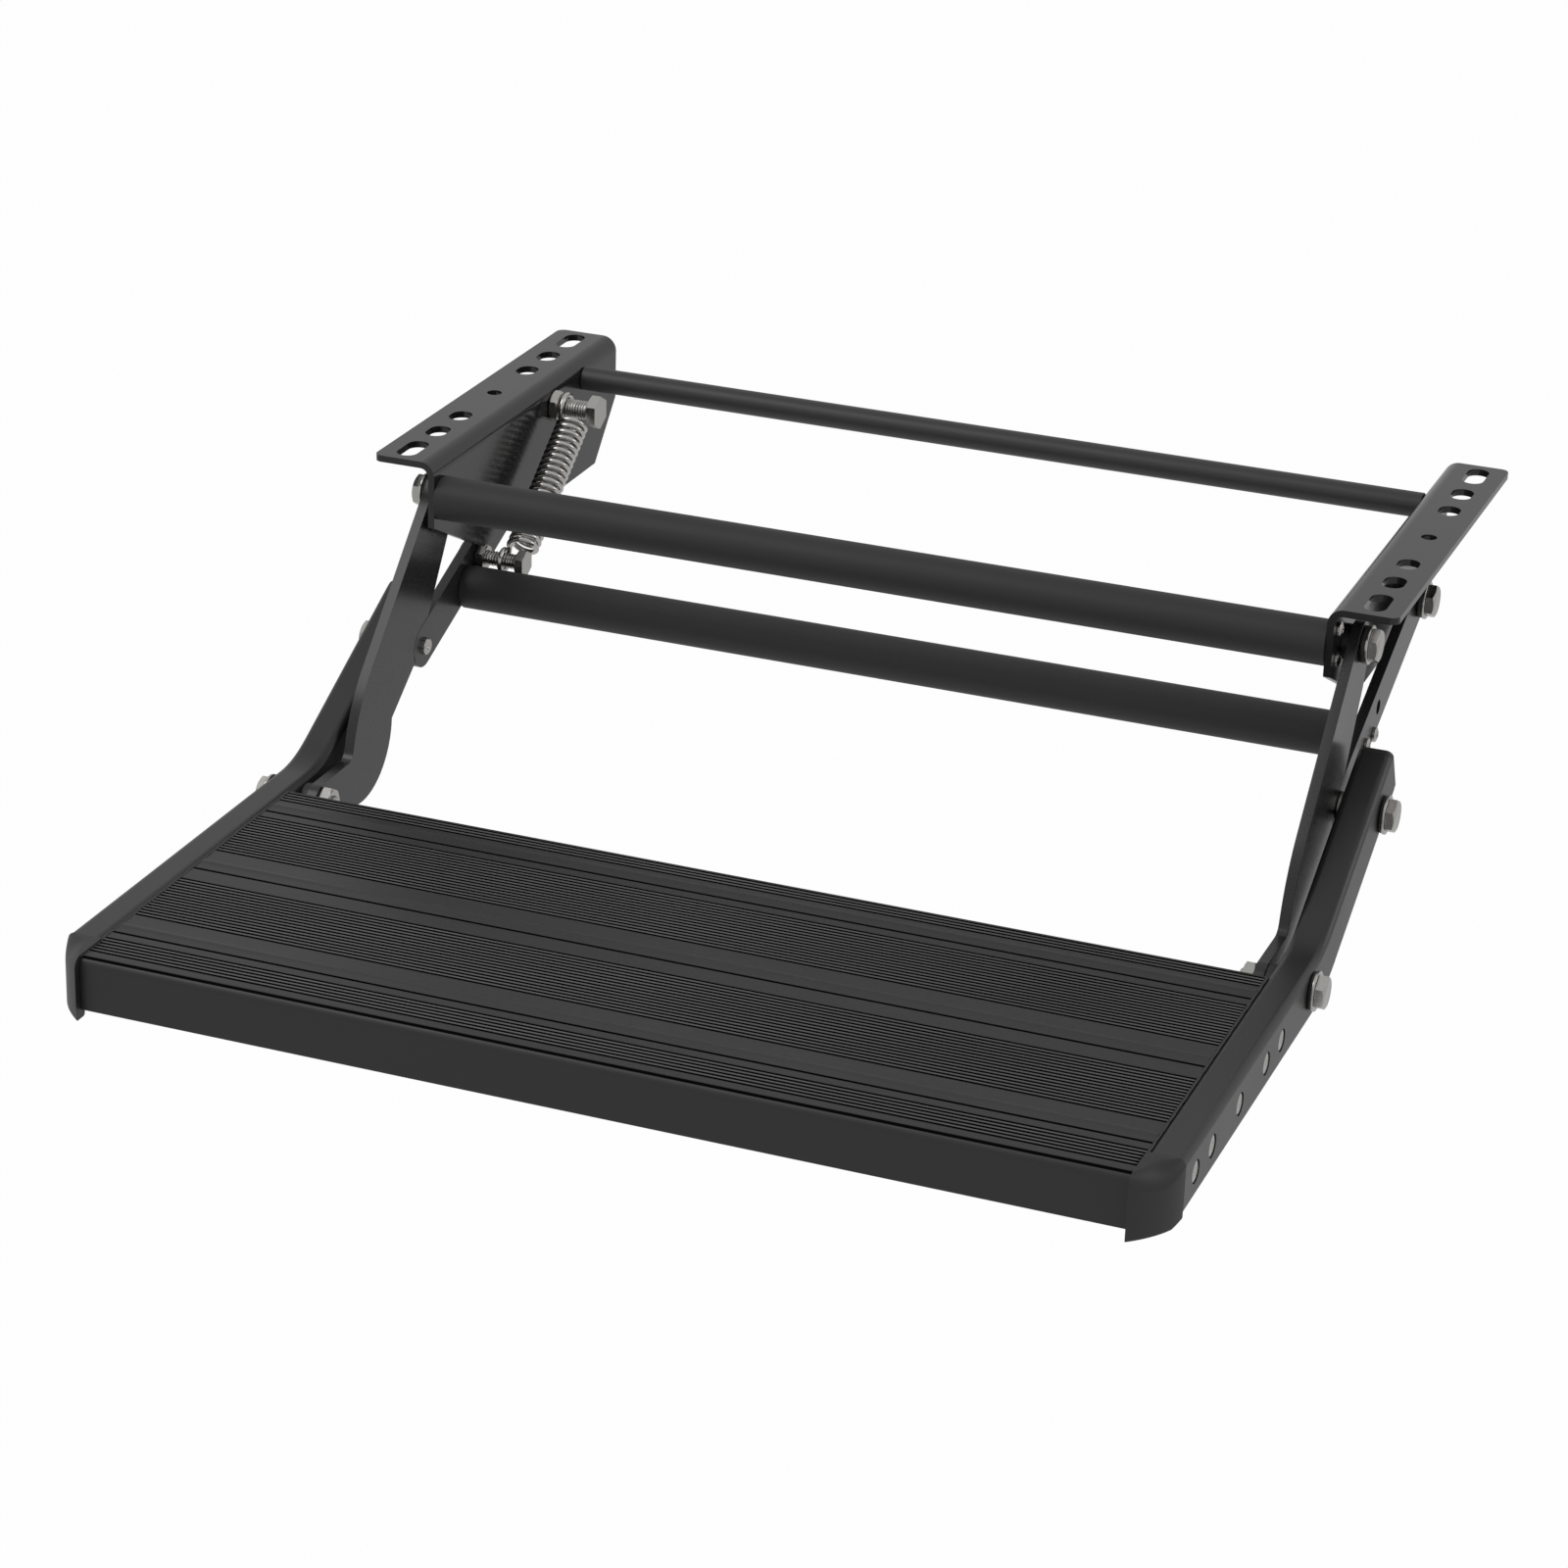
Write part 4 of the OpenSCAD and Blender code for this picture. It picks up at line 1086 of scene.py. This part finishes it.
@dataclass
class FrontCap:
    """The moulded corner piece that closes the front of a side rail."""

    shop: Workshop
    inner: float = 286.0 * MM
    outer: float = 306.2 * MM
    seam: float = -498.9 * MM
    front: float = -528.0 * MM
    bend: tuple[float, float] = (302.4 * MM, -515.0 * MM)
    top: float = -150.0 * MM
    floor: float = -182.3 * MM
    skirt: float = 3.6 * MM
    lobe: float = 9.0 * MM
    crown: tuple[float, float, float] = (4.5 * MM, 6.0 * MM, 6.5 * MM)
    steps: int = 28

    def section(self, share: float, reach: float) -> list[tuple[float, float]]:
        """The upright section at one place of the curved front.

        Args:
            share: Place from the rail's seam (0) to the tread's end (1).
            reach: Distance from the inner rear corner to the front skin.

        Returns:
            Points as (distance, z), from the top round to the underside.
        """
        first, last, swell = self.crown
        r = first + (last - first) * share + swell * math.sin(math.pi * share)
        points = [(0.0, self.top), ((reach - r) * 0.6, self.top)]
        for k in range(13):
            a = math.radians(90 - 7.5 * k)
            points.append((reach - r + r * math.cos(a), self.top - r + r * math.sin(a)))
        drop = self.skirt * min(1.0, 0.25 + 3 * share)
        low = self.floor - drop
        e = 1.6 * MM
        for k in range(5):
            a = math.radians(-22.5 * k)
            points.append((reach - e + e * math.cos(a), low + e + e * math.sin(a)))
        for k in range(5):
            a = math.radians(-90 - 22.5 * k)
            points.append((reach - self.lobe + e + e * math.cos(a), low + e + e * math.sin(a)))
        points += [(reach - self.lobe, self.floor), (0.0, self.floor)]
        return points

    def build(self, side: Side) -> None:
        """Lofts the sections round the inner rear corner.

        Args:
            side: The side that the cap closes.
        """
        work = bmesh.new()
        corner = Vector((self.inner, self.seam))
        start, middle = Vector((self.outer, self.seam)), Vector(self.bend)
        end = Vector((self.inner, self.front))
        rows = []
        for i in range(self.steps + 1):
            u = i / self.steps
            skin = start * (1 - u) ** 2 + middle * 2 * u * (1 - u) + end * u ** 2
            way = skin - corner
            spots = [(corner + way.normalized() * s, z) for s, z in self.section(u, way.length)]
            rows.append([work.verts.new((side.value * p.x, p.y, z)) for p, z in spots])
        count = len(rows[0])
        for near, far in zip(rows, rows[1:]):
            for k in range(count):
                m = (k + 1) % count
                work.faces.new((near[k], near[m], far[m], far[k]))
        work.faces.new(rows[0])
        work.faces.new(rows[-1])
        bmesh.ops.remove_doubles(work, verts=work.verts, dist=0.005 * MM)
        bmesh.ops.recalc_face_normals(work, faces=work.faces)
        mesh = joined([work], "front_cap", 40.0)
        mesh.materials.append(self.shop.material(MOULDED_CAP))
        word = side.name.lower()
        blank = self.shop.link("front_cap_blank", mesh)
        self.shop.rounded(blank, 0.4 * MM, 2, 40.0)
        self.shop.register(self.shop.baked(blank, "front_cap_" + word + "_moulded"), Body.TREAD, MOULDED_CAP,
                           "front_cap_" + word)


@dataclass
class TreadUnit:
    """The tread board between its side rails, with caps and pivots."""

    shop: Workshop
    hardware: Hardware
    rear: float = -284 * MM
    top: float = -151 * MM
    half: float = 285.8 * MM
    pitch: float = 3.35 * MM
    ridge: float = 1.42 * MM
    fields: tuple[tuple[float, int], ...] = ((2.6 * MM, 4), (38 * MM, 16), (129.25 * MM, 16), (211.5 * MM, 6))
    rail_out: float = 306 * MM
    screw_bore: float = 6.3 * MM
    bore_depth: float = 1.0 * MM
    trim_r: float = 0.9 * MM
    shank_r: float = 5 * MM

    def crowns(self) -> None:
        """Crowns the top of every narrow ridge between two grooves, in a far lighter finish that paints the highlight
        on the ridge tops.
        """
        spots = []
        for start, count in self.fields:
            for index in range(count - 1):
                y = self.rear - start - self.pitch * (index + 0.5)
                spots.append((Vector((0, y, self.top - 0.07 * MM)), Side.RIGHT))
        # The crowns take the lighter finish that paints the ridge-top highlight.
        tree = crown_tree()
        piece = tree.run(self.shop, spot_mesh(spots, "ridges"), "tread_ridge_crowns", Radius=self.ridge / 2, Sides=16,
                         Length=2 * self.half - 0.4 * MM, Finish=self.shop.material(RIDGE_PAINTED_HIGHLIGHT))
        self.shop.register(piece, Body.TREAD, RIDGE_PAINTED_HIGHLIGHT)

    def trim(self, side: Side) -> None:
        """Runs the uneven cut edge of the tread along a side rail.

        Args:
            side: The side of the rail.
        """
        line = []
        for i in range(119):
            wave = math.sin(i * 0.9) * math.sin(i * 0.23) + 0.5 * math.sin(i * 2.3)
            x = self.half + self.trim_r * 0.75 + wave * 0.16 * MM
            z = self.top - self.trim_r * 0.55 + wave * 0.12 * MM
            line.append(Vector((side.value * x, self.rear - MM - i * 2 * MM, z)))
        tree = wire_tree()
        name = "tread_edge_" + side.name.lower()
        piece = tree.run(self.shop, line_mesh(line, name), name, Radius=self.trim_r, Sides=10,
                         Finish=self.shop.material(BLACK_TREAD))
        self.shop.register(piece, Body.TREAD, BLACK_TREAD)

    def bores(self, side: Side) -> bpy.types.Mesh:
        """The flat bottomed recesses that the rail screws sit in, as one cutter.

        Args:
            side: The side of the rail.

        Returns:
            The cutter's mesh.
        """
        parts = []
        for low, high in self.hardware.islands("rail_screws"):
            middle = (low + high) / 2
            if middle.x * side.value < 0:
                continue
            plug = lathe([(self.rail_out - self.bore_depth, 0.01 * MM), (self.rail_out - self.bore_depth, self.screw_bore),
                          (self.rail_out + MM, self.screw_bore), (self.rail_out + MM, 0.01 * MM)], 40)
            bmesh.ops.remove_doubles(plug, verts=plug.verts, dist=0.03 * MM)
            for vert in plug.verts:
                vert.co = Vector((side.value * vert.co.x, vert.co.y + middle.y, vert.co.z + middle.z))
            bmesh.ops.recalc_face_normals(plug, faces=plug.faces)
            parts.append(plug)
        return joined(parts, "rail_bores")

    def build(self) -> None:
        """Builds the tread board, rails, caps and pivots."""
        body = Body.TREAD
        self.shop.softened("tread_board", body, BLACK_TREAD, 0.25 * MM)
        self.crowns()
        for side in Side:
            self.shop.softened("side_rail_" + side.name.lower(), body, COATED_RAIL, 0.25 * MM,
                               cutter=self.bores(side))
            self.trim(side)
            FrontCap(self.shop).build(side)
        self.shop.softened("rail_end_caps", body, MOULDED_CAP, 0.6 * MM, 3)
        hw = self.hardware
        hw.set_out("rail_screws", body, BRIGHT_ZINC, hw.screw(5.5 * MM, 1.1 * MM, 2.0 * MM, False), "rail_screws_set")
        hw.set_out("lower_pivot_washers", body, BRIGHT_ZINC, hw.ring(5.25 * MM, 11 * MM), "lower_washer_set")
        hw.set_out("lower_pivot_bushes", body, MOULDED_BUSH,
                   hw.bush(1.2 * MM, 5.25 * MM, 7 * MM, 10.5 * MM), "lower_bush_set")
        hw.set_out("lower_pivot_nuts", body, BRIGHT_ZINC, hw.nut(17 * MM, 10.5 * MM), "lower_nut_set")
        hw.set_out("lower_pivot_bolts", body, BRIGHT_ZINC, hw.pivot_bolt(5 * MM, self.shank_r), "lower_bolt_set")
        self.shop.dress_node("lower_pivot_spacers", MOULDED_BUSH)


@dataclass
class Studio:
    """Floor, light and camera."""

    focal_px: float = 4578.2
    image_px: float = 1600.0
    azimuth: float = 20.6
    elevation: float = 23.4
    roll: float = 1.8
    distance: float = 2186.2 * MM
    aim: tuple[float, float, float] = (86.7 * MM, -482.0 * MM, 0.0)
    floor_z: float = -1.35
    floor_half: float = 8.0
    diffuse_light: float = 0.6
    glossy_light: float = 0.64

    def camera(self) -> None:
        """Sets the camera at the photograph's viewing angle."""
        az, el, roll = (math.radians(v) for v in (self.azimuth, self.elevation, self.roll))
        back = Vector((math.sin(az) * math.cos(el), -math.cos(az) * math.cos(el), math.sin(el)))
        right = (-back).cross(Vector((0, 0, 1))).normalized()
        up = right.cross(-back)
        right, up = (right * math.cos(roll) + up * math.sin(roll), up * math.cos(roll) - right * math.sin(roll))
        data = bpy.data.cameras.new("camera")
        data.sensor_width = 36.0
        data.lens = self.focal_px / self.image_px * data.sensor_width
        data.clip_start, data.clip_end = 0.05, 60.0
        cam = bpy.data.objects.new("camera", data)
        cam.matrix_world = Matrix.Translation(Vector(self.aim) + back * self.distance) @ Matrix(
            (right, up, back)).transposed().to_4x4()
        bpy.context.scene.collection.objects.link(cam)
        bpy.context.scene.camera = cam

    def world(self) -> None:
        """Lights the scene evenly and shows white to the camera and in reflections."""
        world = bpy.data.worlds.new("studio")
        world.use_nodes = True
        bpy.context.scene.world = world
        tree = world.node_tree
        tree.nodes.clear()
        path = tree.nodes.new("ShaderNodeLightPath")
        seen = Sock(tree, path.outputs["Is Camera Ray"])
        glossy = Sock(tree, path.outputs["Is Glossy Ray"]) + Sock(tree, path.outputs["Is Transmission Ray"])
        strength = seen + (1.0 - seen) * (
            glossy.clamp(0.0, 1.0) * (self.glossy_light - self.diffuse_light) + self.diffuse_light)
        back = tree.nodes.new("ShaderNodeBackground")
        back.inputs["Color"].default_value = (1, 1, 1, 1)
        tree.links.new(strength.out, back.inputs["Strength"])
        out = tree.nodes.new("ShaderNodeOutputWorld")
        tree.links.new(back.outputs[0], out.inputs["Surface"])

    def floor(self, shop: Workshop) -> None:
        """Lays the pale floor below the hanging step."""
        mat = MaterialTree("pale_floor")
        place = mat.value("TexCoord", "Object")
        clouds = mat.value("TexNoise", "Fac", inputs={"Vector": place, "Scale": 3.0})
        rough = clouds * 0.1 + 0.7
        matt = mat.value("BsdfPrincipled", "BSDF", inputs={"Base Color": (0.9, 0.9, 0.9, 1), "Roughness": rough})
        glow = mat.value("Emission", "Emission", inputs={"Color": (1, 1, 1, 1), "Strength": 1.0})
        path = mat.node("LightPath")
        seen = Sock(mat.tree, path.outputs["Is Camera Ray"]) * 0.97
        mixed = mat.node("MixShader", inputs={0: seen, 1: matt, 2: glow})
        mesh = bpy.data.meshes.new("floor")
        h, z = self.floor_half, self.floor_z
        mesh.from_pydata([(-h, -h, z), (h, -h, z), (h, h, z), (-h, h, z)], [], [(0, 1, 2, 3)])
        mesh.materials.append(mat.finish(Sock(mat.tree, mixed.outputs[0])))
        shop.link("floor", mesh)

    def lamps(self) -> None:
        """Hangs two large soft lamps."""
        target = Vector((0.0, -0.25, -0.1))
        for name, place, size, power in (("key", (-1.6, -1.4, 2.4), 1.8, 22.0), ("side", (2.6, 0.8, 0.9), 1.4, 10.0)):
            data = bpy.data.lights.new(name, "AREA")
            data.size = size
            data.energy = power
            lamp = bpy.data.objects.new(name, data)
            lamp.location = place
            lamp.rotation_euler = (target - Vector(place)).to_track_quat("-Z", "Y").to_euler()
            bpy.context.scene.collection.objects.link(lamp)

    def build(self, shop: Workshop) -> None:
        """Builds the studio."""
        bpy.context.scene.view_settings.view_transform = "Standard"
        self.camera()
        self.world()
        self.floor(shop)
        self.lamps()


def corners(box: tuple[Vector, Vector]) -> list[list[float]]:
    """A box as plain lists."""
    return [list(box[0]), list(box[1])]


def main() -> None:
    """Builds the step and its studio around the frame."""
    logging.basicConfig(level=logging.INFO, format="%(message)s")
    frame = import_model()
    shop = Workshop(frame)
    hardware = Hardware(shop)
    BracketFrame(shop, hardware).build()
    ReturnSpring(shop).build()
    SwingArms(shop, hardware).build()
    TreadUnit(shop, hardware).build()
    Studio().build(shop)


if __name__ == "__main__":
    main()
